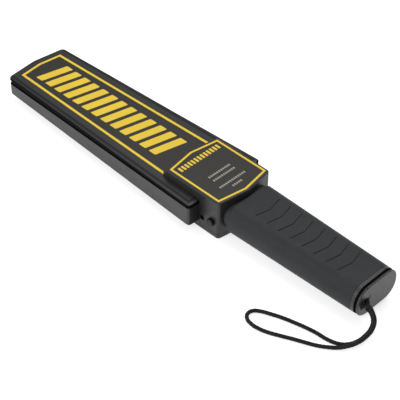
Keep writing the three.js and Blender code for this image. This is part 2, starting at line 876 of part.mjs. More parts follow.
function boxedOutline(width, height, radius) {
  const corners = [
    corner(-width / 2, -height / 2),
    corner(width / 2, -height / 2),
    corner(width / 2, height / 2),
    corner(-width / 2, height / 2),
  ];
  return rounded(corners, [radius, radius, radius, radius], 2);
}

function standingBar(x0, x1, width, height, radius) {
  const outline = boxedOutline(width, height, radius);
  return loft([x0, x1].map((x) => outline.map((p) => point(x, p.x, handleAxisHeight + p.y))));
}

const batteryZ = handleAxisHeight;
const terminalX = batteryFrontX - terminalHeight;
const terminals = [-1, 1].map((side) => rod(
  point(terminalX, (side * terminalSpacing) / 2, batteryZ),
  point(batteryFrontX + hair, (side * terminalSpacing) / 2, batteryZ),
  terminalRadius,
  fineSides,
));
add(
  'battery',
  join(standingBar(batteryFrontX, batteryRearX, batteryWidth, batteryThickness, batteryEdge), ...terminals),
  batteryCase,
);

const snapThickness = 2;
const snapWidth = 26;
const snapHeight = 12;
const snapRearX = terminalX - seatGap;
const snapFrontX = snapRearX - snapThickness;
add('battery_snap', standingBar(snapFrontX, snapRearX, snapWidth, snapHeight, batteryEdge), darkPlastic);

// Foam pad in the cap's hollow plug, which keeps the battery from rattling
const padWidth = 24;
const padHeight = 11;
add(
  'battery_pad',
  standingBar(batteryRearX + seatGap, padX + padThickness, padWidth, padHeight, batteryEdge),
  foamGrey,
);

// Main board with its parts
const boardTop = boardZ + boardThickness;

function boardBody() {
  const plan = new THREE.Shape([
    corner(boardFrontX, -boardNarrow / 2),
    corner(boardStepX, -boardNarrow / 2),
    corner(boardStepX, -boardWide / 2),
    corner(boardRearX, -boardWide / 2),
    corner(boardRearX, boardWide / 2),
    corner(boardStepX, boardWide / 2),
    corner(boardStepX, boardNarrow / 2),
    corner(boardFrontX, boardNarrow / 2),
  ]);
  const plate = new THREE.ExtrudeGeometry(plan, { depth: boardThickness, bevelEnabled: false });
  plate.translate(0, 0, boardZ);
  const holes = boardScrewXs.map((x) => (
    post(x, 0, boardZ - overrun, boardTop + overrun, screwRadius + threadGap, fineSides)
  ));
  return cut(solid(plate), ...holes);
}

add('main_board', boardBody(), boardGreen);

const boardHeadHeight = 1.6;
const boardScrewDepth = 4;
boardScrewXs.forEach((x, k) => {
  const seat = boardTop + seatGap;
  const screw = join(
    post(x, 0, seat, seat + boardHeadHeight, screwHeadRadius, fineSides),
    post(x, 0, boardZ - boardScrewDepth, seat + hair, screwRadius, fineSides),
  );
  add(`board_screw_${k + 1}`, screw, plainSteel);
});

const buzzerTop = baseThickness + seatGap + buzzerHeight;
add('buzzer', post(buzzerX, 0, baseThickness + seatGap, buzzerTop, buzzerRadius), chipBlack);

const onBoard = boardTop + seatGap;
const chipLength = 12;
const chipWidth = 8;
const chipHeight = 2;
const chipInset = 22;
const chipX = hoodFrontX + chipInset;
const chipY = -8;
add(
  'processor_chip',
  block(
    chipX - chipLength / 2, chipX + chipLength / 2,
    chipY - chipWidth / 2, chipY + chipWidth / 2, onBoard, onBoard + chipHeight,
  ),
  chipBlack,
);

const canRadius = 3.2;
const canHeight = 9;
const canChamfer = 0.5;
const canInset = 32;
const canX = hoodFrontX + canInset;
const canYs = [6, 14];
canYs.forEach((y, k) => {
  const canTop = onBoard + canHeight;
  const rimZ = canTop - canChamfer;
  const can = join(
    post(canX, y, onBoard, rimZ, canRadius),
    post(canX, y, rimZ - hair, canTop, canRadius, roundSides, canRadius - canChamfer),
  );
  add(`capacitor_${k + 1}`, can, chipBlack);
});

// Sensitivity trimmer: a blue body with a slotted rotor that turns
const trimmerSize = 6;
const trimmerHeight = 3;
const trimmerInset = 20;
const trimmerX = hoodFrontX + trimmerInset;
const trimmerY = 10;
const rotorRadius = 2.3;
const rotorHeight = 1.2;
const rotorSink = 0.8;
const rotorSlot = 0.7;
const rotorFloor = onBoard + trimmerHeight - rotorSink;
const trimmerBody = block(
  trimmerX - trimmerSize / 2, trimmerX + trimmerSize / 2,
  trimmerY - trimmerSize / 2, trimmerY + trimmerSize / 2, onBoard, onBoard + trimmerHeight,
);
const rotorTop = rotorFloor + rotorHeight;
const rotorRoom = post(trimmerX, trimmerY, rotorFloor - seatGap, rotorTop, rotorRadius + slideGap);
add('sensitivity_trimmer', cut(trimmerBody, rotorRoom), bluePlastic);

const rotorSlotCut = block(
  trimmerX - rotorRadius - overrun, trimmerX + rotorRadius + overrun,
  trimmerY - rotorSlot / 2, trimmerY + rotorSlot / 2, rotorTop - rotorHeight / 2, rotorTop + overrun,
);
add(
  'trimmer_rotor',
  cut(post(trimmerX, trimmerY, rotorFloor, rotorTop, rotorRadius), rotorSlotCut),
  brass,
);

// Earphone jack in the near side wall
const jackDepth = 13;
const jackWidth = 6.5;
const jackBoreDepth = 11;
const jackInnerY = -hoodInnerSide + seatGap;
const jackTop = jackHeight + jackBarrelRadius;

function jackSocket() {
  const shell = block(
    jackX - jackWidth / 2, jackX + jackWidth / 2, jackInnerY, jackInnerY + jackDepth, onBoard, jackTop,
  );
  const barrel = rod(
    point(jackX, jackSink - sideWallY, jackHeight),
    point(jackX, jackInnerY + hair, jackHeight),
    jackBarrelRadius,
  );
  const bore = rod(
    point(jackX, -sideWallY - overrun, jackHeight),
    point(jackX, jackInnerY + jackBoreDepth, jackHeight),
    jackBoreRadius,
    fineSides,
  );
  return cut(join(shell, barrel), bore);
}

add('jack_socket', jackSocket(), darkPlastic);

// Push button, its plunger and the tact switch behind it
const tactSize = 6;
const tactDepth = 4;
const plungerRadius = 1;
const plungerLength = 2.4;
const plungerSink = 0.9;
const buttonBack = -hoodInnerSide + seatGap + buttonFlange;
const plungerFront = buttonBack + seatGap;
const tactFront = plungerFront + plungerLength - plungerSink;
const along = (y) => point(controlX, y, controlHeight);

function pushButton() {
  const face = -sideWallY - buttonProud;
  return join(
    rod(along(face), along(face + capEdge), buttonRadius - capEdge, roundSides, buttonRadius),
    rod(along(face + capEdge - hair), along(-hoodInnerSide + seatGap + hair), buttonRadius),
    rod(along(-hoodInnerSide + seatGap), along(buttonBack), buttonFlangeRadius),
  );
}

add('push_button', pushButton(), darkPlastic);

const plunger = rod(along(plungerFront), along(plungerFront + plungerLength), plungerRadius, fineSides);
add('button_plunger', plunger, chipBlack);

const tactBody = block(
  controlX - tactSize / 2, controlX + tactSize / 2, tactFront, tactFront + tactDepth,
  onBoard, controlHeight + tactSize / 2,
);
const plungerRoom = rod(
  along(tactFront - overrun),
  along(plungerFront + plungerLength + buttonTravel + seatGap),
  plungerRadius + slideGap,
  fineSides,
);
add('tact_switch', cut(tactBody, plungerRoom), plainSteel);

// Three-position slide switch in the far side wall: off, sound, vibration
const switchBodyLength = 13;
const switchBodyDepth = 5;
const switchBodyHeight = 5.4;
const sliderSink = 1.6;
const sliderLength = 4;
const switchOuterY = hoodInnerSide - seatGap;
const switchInnerY = switchOuterY - switchBodyDepth;
const knobFaceY = sideWallY + seatGap;

function slideSwitch() {
  const body = block(
    switchX - switchBodyLength / 2, switchX + switchBodyLength / 2, switchInnerY, switchOuterY,
    onBoard, switchHeight + switchBodyHeight / 2,
  );
  const track = block(
    switchX - sliderLength / 2 - switchStep - slideGap, switchX + sliderLength / 2 + switchStep + slideGap,
    switchOuterY - sliderSink - seatGap, switchOuterY + overrun,
    switchHeight - knobStemHeight / 2 - slideGap, switchHeight + knobStemHeight / 2 + slideGap,
  );
  return cut(body, track);
}

add('slide_switch', slideSwitch(), plainSteel);

const knobRibCount = 3;
const knobRibDepth = 0.5;
const knobRibWidth = 0.7;

function switchKnob() {
  const low = switchHeight - knobStemHeight / 2;
  const high = switchHeight + knobStemHeight / 2;
  const stem = block(
    switchX - knobStemLength / 2, switchX + knobStemLength / 2,
    switchOuterY - sliderSink, knobFaceY + hair, low, high,
  );
  const head = block(
    switchX - knobLength / 2, switchX + knobLength / 2, knobFaceY, knobFaceY + knobProud,
    switchHeight - knobHeight / 2, switchHeight + knobHeight / 2,
  );
  const grooves = Array.from({ length: knobRibCount }, (_, k) => {
    const x = switchX + ((k - (knobRibCount - 1) / 2) * knobLength) / (knobRibCount + 1);
    return block(
      x - knobRibWidth / 2, x + knobRibWidth / 2,
      knobFaceY + knobProud - knobRibDepth, knobFaceY + knobProud + overrun,
      switchHeight - knobHeight, switchHeight + knobHeight,
    );
  });
  return cut(join(stem, head), ...grooves);
}

add('switch_knob', switchKnob(), darkPlastic);

// Two lamps beside the switch, their legs bent down to the board
const legWidth = 0.6;
const legSpacing = 1.3;

function lamp(x) {
  const inner = hoodInnerSide - seatGap;
  const at = (y) => point(x, y, lampHeight);
  const body = join(
    rod(at(inner - lampBody), at(sideWallY), lampRadius, fineSides),
    rod(at(sideWallY - hair), at(sideWallY + lampProud), lampRadius, fineSides, lampRadius / 2),
    rod(at(inner - lampFlange), at(inner), lampRadius + lampFlange, fineSides),
  );
  const legY = inner - lampBody - switchBodyDepth / 2;
  const legLow = lampHeight - legWidth / 2;
  const legHigh = lampHeight + legWidth / 2;
  const legs = [-1, 1].flatMap((side) => {
    const from = x + (side * legSpacing - legWidth) / 2;
    return [
      block(from, from + legWidth, legY, inner - lampBody + hair, legLow, legHigh),
      block(from, from + legWidth, legY, legY + legWidth, onBoard, legHigh),
    ];
  });
  return join(body, ...legs);
}

add('red_lamp', lamp(redLampX), redLens);
add('green_lamp', lamp(greenLampX), greenLens);

// Vibration motor and its eccentric weight
const motorFrontY = motorY - motorLength / 2;
const motorAt = (y) => point(motorX, y, motorZ);
add('vibration_motor', join(
  rod(motorAt(motorFrontY), motorAt(motorY + motorLength / 2), motorRadius),
  rod(motorAt(motorFrontY - motorShaftLength), motorAt(motorFrontY + hair), motorShaftRadius, fineSides),
), plainSteel);

const weightRadius = 4;
const weightLength = 3.6;
const weightHub = 1.6;

function eccentricWeight() {
  const rear = motorFrontY - seatGap - slideGap;
  const front = rear - weightLength;
  const hub = rod(motorAt(front), motorAt(rear), weightHub, fineSides);
  const half = block(
    motorX - weightRadius - overrun, motorX + weightRadius + overrun, front - overrun, rear + overrun,
    motorZ, motorZ + weightRadius + overrun,
  );
  const boreRadius = motorShaftRadius + slideGap / 2;
  const bore = rod(motorAt(front - overrun), motorAt(rear + overrun), boreRadius, fineSides);
  return cut(join(cut(rod(motorAt(front), motorAt(rear), weightRadius), half), hub), bore);
}

add('eccentric_weight', eccentricWeight(), brass);

// Search coil: a racetrack former on the rear shell, with an outer and an inner winding in its channels
const coilSideInset = 9.5;
const coilTipInset = 15;
const coilRearInset = 22;
const coilHalfWidth = bladeTipWidth / 2 - coilSideInset;
const coilFrontX = tipX + coilTipInset;
const coilRearX = hoodFrontX - coilRearInset;
const coilRing = 7;
const formerFloor = 2;
const formerRim = 1.4;
const windingHeight = 3.6;
const formerHeight = 5.4;
const coilMiddleX = (coilFrontX + coilRearX) / 2;
const coilStraight = (coilRearX - coilFrontX) / 2 - coilHalfWidth;
const coilSteps = 8;

function racetrack(halfWidth) {
  const track = new THREE.Shape();
  track.absarc(coilMiddleX + coilStraight, 0, halfWidth, -Math.PI / 2, Math.PI / 2);
  track.absarc(coilMiddleX - coilStraight, 0, halfWidth, Math.PI / 2, (3 * Math.PI) / 2);
  return track;
}

function coilBand(outerHalf, innerHalf, z0, z1) {
  const band = racetrack(outerHalf);
  band.holes.push(racetrack(innerHalf));
  const settings = { depth: z1 - z0, curveSegments: coilSteps, bevelEnabled: false };
  const geometry = new THREE.ExtrudeGeometry(band, settings);
  geometry.translate(0, 0, z0);
  return solid(geometry);
}

const formerZ = bladeLift + shellWall + seatGap;
const channelZ = formerZ + formerFloor;
const innerHalf = coilHalfWidth - 2 * coilRing;
const channelWidth = (2 * coilRing - 3 * formerRim) / 2;
const outerWinding = coilHalfWidth - formerRim;
const innerWinding = outerWinding - channelWidth - formerRim;

add('coil_former', cut(
  coilBand(coilHalfWidth, innerHalf, formerZ, formerZ + formerHeight),
  coilBand(outerWinding, outerWinding - channelWidth, channelZ, formerZ + formerHeight + overrun),
  coilBand(innerWinding, innerWinding - channelWidth, channelZ, formerZ + formerHeight + overrun),
), creamPlastic);

function winding(outerHalf) {
  const outer = outerHalf - seatGap;
  const inner = outerHalf - channelWidth + seatGap;
  return coilBand(outer, inner, channelZ + seatGap, channelZ + windingHeight);
}

add('transmit_winding', winding(outerWinding), enamelCopper);
add('receive_winding', winding(innerWinding), enamelCopper);

// Foam strip between the former and the top skin's ribs
const foamHalf = 20;
const foamFrontX = frontScrewX + casePostRadius * 3;
const foamRearX = coilRearX - coilRing;
const foamLow = formerZ + formerHeight + seatGap;
const foamHigh = bladeTopAt(foamFrontX) - shellWall - ribDepth - seatGap;
add('coil_foam', block(foamFrontX, foamRearX, -foamHalf, foamHalf, foamLow, foamHigh), foamGrey);

// Leads, each held along its whole way: coil to board, and battery to board
const leadDiameter = 2.2;
const leadSteps = 14;
const leadZ = formerZ + formerHeight / 2;
const leadStartX = coilRearX + seatGap;
const leadEndX = boardFrontX + leadDiameter * 2;
const leadEndY = boardNarrow / 4;
const coilLead = new THREE.CatmullRomCurve3([
  point(leadStartX, 0, leadZ),
  point(leadStartX + 2 * leadDiameter, 0, leadZ),
  point((leadStartX + leadEndX) / 2, leadEndY / 2, leadZ + leadDiameter / 2),
  point(leadEndX - leadDiameter, leadEndY, leadZ),
  point(leadEndX, leadEndY, onBoard + leadDiameter),
  point(leadEndX, leadEndY, onBoard),
]);
add('coil_lead', tube(coilLead, leadDiameter, leadSteps), blackWire);

const wireDiameter = 1.3;
const wireSteps = 16;
const wireBoardX = boardRearX - 3 * wireDiameter;

function batteryWire(side) {
  const y = side * wireDiameter * 3;
  const startX = snapFrontX - seatGap;
  return new THREE.CatmullRomCurve3([
    point(startX, y, handleAxisHeight),
    point(startX - 4 * wireDiameter, y, handleAxisHeight),
    point((startX + gripFrontX) / 2, y, handleAxisHeight - wireDiameter),
    point(coreFrontX, y, handleAxisHeight),
    point(wireBoardX, y, handleAxisHeight - 2 * wireDiameter),
    point(wireBoardX, y, onBoard + 2 * wireDiameter),
    point(wireBoardX, y, onBoard),
  ]);
}

add('battery_lead_red', tube(batteryWire(-1), wireDiameter, wireSteps), redWire);
add('battery_lead_black', tube(batteryWire(1), wireDiameter, wireSteps), blackWire);

export default group;
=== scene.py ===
import math

import bmesh
import bpy
from mathutils import Matrix, Vector


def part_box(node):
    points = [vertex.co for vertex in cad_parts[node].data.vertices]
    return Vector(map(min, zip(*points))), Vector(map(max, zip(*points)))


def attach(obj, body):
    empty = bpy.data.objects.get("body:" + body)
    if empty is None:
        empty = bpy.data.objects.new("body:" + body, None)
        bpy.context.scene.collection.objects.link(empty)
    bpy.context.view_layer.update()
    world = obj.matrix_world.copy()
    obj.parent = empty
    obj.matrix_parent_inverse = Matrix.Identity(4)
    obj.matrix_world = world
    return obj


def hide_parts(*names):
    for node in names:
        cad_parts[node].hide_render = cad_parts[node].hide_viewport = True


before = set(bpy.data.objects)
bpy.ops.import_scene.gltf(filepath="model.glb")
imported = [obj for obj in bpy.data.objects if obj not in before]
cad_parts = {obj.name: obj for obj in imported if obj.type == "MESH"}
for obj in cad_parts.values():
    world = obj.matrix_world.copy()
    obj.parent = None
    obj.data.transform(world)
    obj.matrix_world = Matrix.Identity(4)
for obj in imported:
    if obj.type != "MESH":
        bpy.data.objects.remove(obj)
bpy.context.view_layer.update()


# Camera: it looks down on the wand from the near side of the butt, as the photograph does.
# Its place and lens come from matching the wand's known edges, and it has no shift.
view_azimuth = math.radians(45.0)
view_elevation = math.radians(41.85)
view_roll = math.radians(0.29)
view_distance = 1.0983
view_aside = 0.0097
view_down = -0.0128
focal_pixels = 1285.2
frame_pixels = 400
sensor_width = 36.0

level_right = Vector((math.cos(view_azimuth), math.sin(view_azimuth), 0))
backwards = Vector((
    math.sin(view_azimuth) * math.cos(view_elevation),
    -math.cos(view_azimuth) * math.cos(view_elevation),
    math.sin(view_elevation),
))
level_up = backwards.cross(level_right)
camera_right = level_right * math.cos(view_roll) + level_up * math.sin(view_roll)
camera_up = level_up * math.cos(view_roll) - level_right * math.sin(view_roll)
camera_place = backwards * view_distance + camera_right * view_aside + camera_up * view_down


def placed(name, data):
    """An object made of the data and put in the scene."""
    made = bpy.data.objects.new(name, data)
    bpy.context.scene.collection.objects.link(made)
    return made


camera_data = bpy.data.cameras.new("camera")
camera_data.sensor_width = sensor_width
camera_data.lens = focal_pixels * sensor_width / frame_pixels
camera_data.clip_start = 0.01
camera = placed("camera", camera_data)
camera_turn = Matrix((camera_right, camera_up, backwards)).transposed()
camera.matrix_world = Matrix.Translation(camera_place) @ camera_turn.to_4x4()
bpy.context.scene.camera = camera


# Wrist strap: one loop of round braided nylon cord, 3.2 mm thick, that lies on the table.
# Both its ends leave the hitch in the end cap's pocket, one over the other.
cord_thickness = 0.0032
strap_steps, hitch_steps = 18, 8
hitch_squeeze = 0.97
strap_route = [
    (0.2088, -0.0163, 0.0196), (0.2114, -0.0163, 0.0194), (0.2151, -0.0169, 0.0164),
    (0.2185, -0.0184, 0.0123), (0.2205, -0.0224, 0.0081), (0.2208, -0.0294, 0.0053),
    (0.2196, -0.0395, 0.0044), (0.2158, -0.0468, 0.0033), (0.2107, -0.0520, 0.0020),
    (0.2044, -0.0570, 0.0018), (0.1980, -0.0610, 0.0017), (0.1904, -0.0646, 0.0017),
    (0.1820, -0.0684, 0.0017), (0.1730, -0.0728, 0.0017), (0.1640, -0.0769, 0.0017),
    (0.1560, -0.0792, 0.0017), (0.1490, -0.0796, 0.0017), (0.1432, -0.0779, 0.0017),
    (0.1399, -0.0739, 0.0017), (0.1406, -0.0690, 0.0017), (0.1450, -0.0652, 0.0017),
    (0.1526, -0.0616, 0.0017), (0.1620, -0.0580, 0.0017), (0.1724, -0.0550, 0.0017),
    (0.1824, -0.0526, 0.0017), (0.1914, -0.0512, 0.0017), (0.1984, -0.0507, 0.0017),
    (0.2048, -0.0494, 0.0017), (0.2097, -0.0473, 0.0017), (0.2137, -0.0438, 0.0018),
    (0.2170, -0.0370, 0.0018), (0.2178, -0.0271, 0.0020), (0.2174, -0.0203, 0.0044),
    (0.2156, -0.0164, 0.0083), (0.2131, -0.0154, 0.0122), (0.2112, -0.0157, 0.0147),
    (0.2088, -0.0162, 0.0157),
]


def braided_cord(name, route, thickness, steps_between):
    """A round tube along the route whose skin stands up in crossing strands."""
    path = bpy.data.curves.new(name + "_path", "CURVE")
    path.dimensions = "3D"
    path.resolution_u = steps_between
    path.bevel_depth = thickness / 2
    path.bevel_resolution = 10
    sides = 2 * (path.bevel_resolution + 2)
    line = path.splines.new("BEZIER")
    line.bezier_points.add(len(route) - 1)
    for knot, place in zip(line.bezier_points, route):
        knot.co = place
        knot.handle_left_type = knot.handle_right_type = "AUTO"
    walker = placed(name + "_path", path)
    seen = bpy.context.evaluated_depsgraph_get()
    mesh = bpy.data.meshes.new_from_object(walker.evaluated_get(seen))
    bpy.data.objects.remove(walker)

    strands, strand_pitch = 4, 0.0062
    relief, fullness, dip = 0.12, 0.6, 0.25
    work = bmesh.new()
    work.from_mesh(mesh)
    work.verts.ensure_lookup_table()
    across = work.verts.layers.float.new("strand_across")
    travelled = 0.0
    centres = []
    for start in range(0, len(work.verts), sides):
        members = [work.verts[start + k] for k in range(sides)]
        centre = sum((v.co for v in members), Vector()) / sides
        if centres:
            travelled += (centre - centres[-1]).length
        centres.append(centre)
        advance = 2 * math.pi * travelled / strand_pitch
        for k, vert in enumerate(members):
            turn = math.pi * strands * k / sides
            rising, falling = turn + advance, turn - advance
            first = abs(math.cos(rising)) ** fullness * (1 + dip * math.cos(2 * falling))
            second = abs(math.cos(falling)) ** fullness * (1 - dip * math.cos(2 * rising))
            vert[across] = (rising if first > second else falling) / math.pi
            vert.co = centre + (vert.co - centre) * (1 + relief * (max(first, second) - 1))
    bmesh.ops.holes_fill(work, edges=[e for e in work.edges if e.is_boundary], sides=0)
    for face in work.faces:
        face.smooth = True
    bmesh.ops.recalc_face_normals(work, faces=work.faces)
    work.to_mesh(mesh)
    work.free()
    mesh.name = name
    return placed(name, mesh), centres, travelled


strap, strap_line, strap_length = braided_cord(
    "wrist_strap", strap_route, cord_thickness, strap_steps
)

# Hitch: the cord's two turns round the moulded post in the end cap's pocket, with the bight that
# joins them beside the ends. It's the same cord, so it has the same braid. Each row is degrees
# round the post, then millimetres out from its middle and up.
post_place = Vector((0.20350, -0.01450, 0.0176))
hitch_turns = [
    (-19, 5.6, -1.9), (0, 4.4, -1.8), (22, 3.5, -1.75), (48, 3.05, -1.75),
    (80, 3.0, -1.75), (120, 3.0, -1.75), (165, 3.0, -1.75), (210, 3.0, -1.75),
    (250, 3.05, -1.75), (282, 3.3, -1.6), (300, 3.8, -0.95), (306, 4.1, 0.05),
    (300, 3.8, 1.0), (282, 3.3, 1.65), (250, 3.05, 1.75), (210, 3.0, 1.75),
    (165, 3.0, 1.75), (120, 3.0, 1.75), (80, 3.0, 1.75), (48, 3.05, 1.75),
    (22, 3.5, 1.8), (0, 4.4, 1.9), (-19, 5.6, 2.0),
]
hitch_route = [
    post_place + Vector((
        radius * math.cos(math.radians(angle)),
        radius * math.sin(math.radians(angle)),
        height,
    )) / 1000
    for angle, radius, height in hitch_turns
]
hitch = braided_cord(
    "strap_knot", hitch_route, cord_thickness * hitch_squeeze, hitch_steps
)[0]


def add_node(tree, kind, values=None, **settings):
    """A new shader node with its properties set, and the values of its inputs."""
    made = tree.nodes.new("ShaderNode" + kind)
    for name, value in settings.items():
        setattr(made, name, value)
    for name, value in (values or {}).items():
        made.inputs[name].default_value = value
    return made


def ranged(tree, source, low, high, to_low, to_high):
    """The source's values from low to high, spread from to_low to to_high."""
    mapped = add_node(tree, "MapRange", {
        "From Min": low, "From Max": high, "To Min": to_low, "To Max": to_high,
    })
    tree.links.new(source, mapped.inputs["Value"])
    return mapped.outputs["Result"]


def blended(tree, share, first, second):
    """Two colours mixed by a share, where 0 is the first of them."""
    mix = add_node(tree, "Mix", data_type="RGBA")
    tree.links.new(share, mix.inputs["Factor"])
    for colour, socket in ((first, mix.inputs[6]), (second, mix.inputs[7])):
        if isinstance(colour, bpy.types.NodeSocket):
            tree.links.new(colour, socket)
        else:
            socket.default_value = (*colour, 1)
    return mix.outputs[2]


def calculated(tree, operation, first, second=0):
    """What one sum makes of two sockets or numbers."""
    sum_node = add_node(tree, "Math", operation=operation)
    for value, socket in ((first, sum_node.inputs[0]), (second, sum_node.inputs[1])):
        if isinstance(value, bpy.types.NodeSocket):
            tree.links.new(value, socket)
        else:
            socket.default_value = value
    return sum_node.outputs[0]


def read_at(tree, place, kind="TexNoise", output="Fac", **values):
    """What a node gives at a place: a noise, unless another kind is asked for."""
    made = add_node(tree, kind, values)
    tree.links.new(place, made.inputs["Vector"])
    return made.outputs[output]


def new_material(name, plain):
    """A material, and the values on its shader's own sockets that are the same all over."""
    made = bpy.data.materials.new(name)
    made.use_nodes = True
    for socket, value in plain.items():
        made.node_tree.nodes["Principled BSDF"].inputs[socket].default_value = value
    return made


def begun_finish(name, plain):
    """A new material, its tree, and the coordinates of the piece that it's on."""
    made = new_material(name, plain)
    return made, made.node_tree, add_node(made.node_tree, "TexCoord").outputs["Object"]


def connected(material, outputs, relief, strength=1.0):
    """The pattern's colour, roughness, metal and height joined to the material's shader."""
    tree = material.node_tree
    shader = tree.nodes["Principled BSDF"]
    for name, socket in (
        ("Colour", "Base Color"), ("Roughness", "Roughness"), ("Metallic", "Metallic"),
    ):
        if name in outputs:
            tree.links.new(outputs[name], shader.inputs[socket])
    bump = add_node(tree, "Bump", {"Distance": relief, "Strength": strength})
    tree.links.new(outputs["Height"], bump.inputs["Height"])
    tree.links.new(bump.outputs["Normal"], shader.inputs["Normal"])
    return material


def braid_finish():
    """Black nylon braid: fine filaments along each strand, darker in the troughs between them,
    random blotches, and a soft sheen.
    """
    filaments = 9
    made, tree, place = begun_finish("black_nylon_braid", {
        "Sheen Weight": 0.1, "Sheen Roughness": 0.4, "Specular IOR Level": 0.3,
    })
    across = add_node(tree, "Attribute", attribute_name="strand_across").outputs["Fac"]
    wave = calculated(tree, "SINE", calculated(tree, "MULTIPLY", across, filaments * math.pi))
    fuzz = read_at(tree, place, Scale=2600, Detail=3)
    blotch = read_at(tree, place, Scale=160)
    # The filament wave darkens the tone in the troughs, where the bump is low: painted shade.
    shade = calculated(tree, "ADD", calculated(tree, "MULTIPLY", wave, 0.12), blotch)
    tone = blended(
        tree, ranged(tree, shade, 0.3, 0.75, 0, 1),
        (0.0032, 0.0032, 0.003), (0.0115, 0.0115, 0.0105),
    )
    rough = ranged(tree, fuzz, 0, 1, 0.62, 0.85)
    outputs = {"Colour": tone, "Roughness": rough, "Height": calculated(tree, "ADD", wave, fuzz)}
    return connected(made, outputs, relief=0.00012, strength=0.5)


black_braid = braid_finish()
for piece, solid in ((strap, "strap_cord"), (hitch, "strap_hitch")):
    piece.data.materials.append(black_braid)
    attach(piece, "end_cap")
    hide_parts(solid)


# Front shell: the top half of the housing, blade and hood moulded in one piece of black ABS.
# It has a fine spark texture, and eight screws hold it down to the rear shell.
housing_edge = 0.00035


def softened(name, solid, body, edge, finish, corner=30, others=()):
    """A piece that stands for a CAD solid: its facets merged, its hard edges rounded off.

    Each of the others is a test and a material for the faces that the test picks.
    """
    merged_within, flat_within = 0.000002, math.radians(0.5)
    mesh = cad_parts[solid].data.copy()
    mesh.name = name
    mesh.materials.clear()
    mesh.materials.append(finish)
    work = bmesh.new()
    work.from_mesh(mesh)
    bmesh.ops.remove_doubles(work, verts=work.verts, dist=merged_within)
    bmesh.ops.dissolve_limit(work, angle_limit=flat_within, verts=work.verts, edges=work.edges)
    rubbed = work.loops.layers.float.new("rubbed_edge")
    rounded = bmesh.ops.bevel(
        work, geom=[e for e in work.edges if e.calc_face_angle(0) > math.radians(corner)],
        offset=edge, offset_type="OFFSET", affect="EDGES", segments=2, profile=0.5,
        clamp_overlap=True, material=-1,
    )
    for face in rounded["faces"]:
        for loop in face.loops:
            loop[rubbed] = 1.0
    for face in work.faces:
        face.smooth = True
    for number, (picked, other) in enumerate(others):
        mesh.materials.append(other)
        for face in work.faces:
            if picked(face.calc_center_median()):
                face.material_index = number + 1
    work.to_mesh(mesh)
    work.free()
    piece = placed(name, mesh)
    even = piece.modifiers.new("even_shading", "WEIGHTED_NORMAL")
    even.keep_sharp = True
    even.weight = 80
    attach(piece, body)
    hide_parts(solid)
    return piece


def spread(tree, noise, low=0, high=1):
    """A noise, whose values mostly lie from 0.3 to 0.7, spread from low to high."""
    return ranged(tree, noise, 0.3, 0.7, low, high)


def moulded_skin():
    """Moulded plastic: spark grain, cloudy tone, smears from hands, and edges rubbed paler."""
    group = bpy.data.node_groups.new("moulded_skin", "ShaderNodeTree")
    for way, sockets in (
        ("INPUT", {
            "Colour": "Color", "Rubbed Colour": "Color", "Roughness": "Float",
            "Grain Scale": "Float", "Grain Depth": "Float", "Rub": "Float",
        }),
        ("OUTPUT", {"Colour": "Color", "Roughness": "Float", "Height": "Float"}),
    ):
        for name, kind in sockets.items():
            group.interface.new_socket(name=name, in_out=way, socket_type="NodeSocket" + kind)
    given = group.nodes.new("NodeGroupInput").outputs
    result = group.nodes.new("NodeGroupOutput").inputs
    link = group.links.new
    place = add_node(group, "TexCoord").outputs["Object"]
    grain = read_at(group, place, Detail=2.0, Roughness=0.6)
    link(given["Grain Scale"], grain.node.inputs["Scale"])
    cloud = read_at(group, place, Scale=32.0, Detail=4.0, Roughness=0.55)
    smear = read_at(group, place, Scale=90.0, Detail=5.0, Roughness=0.7, Distortion=1.2)
    edge = add_node(group, "Attribute", attribute_name="rubbed_edge").outputs["Fac"]

    tone = calculated(
        group, "ADD", spread(group, cloud, 0.9, 1.08), spread(group, grain, -0.1, 0.1)
    )
    shaded = add_node(group, "VectorMath", operation="SCALE")
    link(given["Colour"], shaded.inputs[0])
    link(tone, shaded.inputs["Scale"])
    patches = calculated(group, "MULTIPLY", edge, ranged(group, smear, 0.42, 0.62, 0.15, 1.0))
    rubbing = calculated(group, "MULTIPLY", patches, given["Rub"])
    link(blended(group, rubbing, shaded.outputs[0], given["Rubbed Colour"]), result["Colour"])
    hazed = calculated(group, "ADD", given["Roughness"], spread(group, smear, -0.05, 0.06))
    polish = calculated(group, "MULTIPLY", rubbing, 0.12)
    link(calculated(group, "SUBTRACT", hazed, polish), result["Roughness"])
    link(calculated(group, "MULTIPLY", grain, given["Grain Depth"]), result["Height"])
    return group


moulded_skin_group = moulded_skin()


def moulded(
    name, colour, rubbed, roughness, grain_scale=1400, grain_depth=0.3, rub=0.5, shine=0.5
):
    """A material for a moulded piece, from the shared moulded skin."""
    made = new_material(name, {"Specular IOR Level": shine})
    skin = add_node(made.node_tree, "Group", {
        "Colour": (*colour, 1), "Rubbed Colour": (*rubbed, 1), "Roughness": roughness,
        "Grain Scale": grain_scale, "Grain Depth": grain_depth, "Rub": rub,
    }, node_tree=moulded_skin_group)
    return connected(made, skin.outputs, relief=0.0002)


# The groove over the seam is where the two tools met. Its faces and the thin lip over it get a
# near-black dull material: painted shade that stands for the groove's shadow band. The upper
# part of the rounded edge gets a darker material, a painted dark reflection, and the ends of the
# blade's wall in the corner beside the hood get painted shade of that corner.
blade_tip_x, blade_rear_x = -0.205, 0.043
groove_rear_x = blade_rear_x + 0.0005
end_reach, rim_reach = 0.0004, 0.00006
edge_below_top = (0.00002, 0.0003)
seam_at_tip, seam_at_rear = 0.0184, 0.0258
blade_face_at_tip, blade_face_at_rear = 0.0262, 0.0292
edge_foot_at_tip, edge_foot_at_rear = 0.0249, 0.0286
hood_half = 0.030
flat_half_at_tip, flat_half_at_rear = 0.0262, 0.0305
flat_tip_x = -0.200


def along_blade(x, at_tip, at_rear):
    """A measure that changes evenly along the blade."""
    return at_tip + (at_rear - at_tip) * (x - blade_tip_x) / (blade_rear_x - blade_tip_x)


def at_blade_end(place):
    """Whether a face is the end of the blade's wall, in the corner beside the hood."""
    return abs(place.x - blade_rear_x) < end_reach and abs(place.y) > hood_half


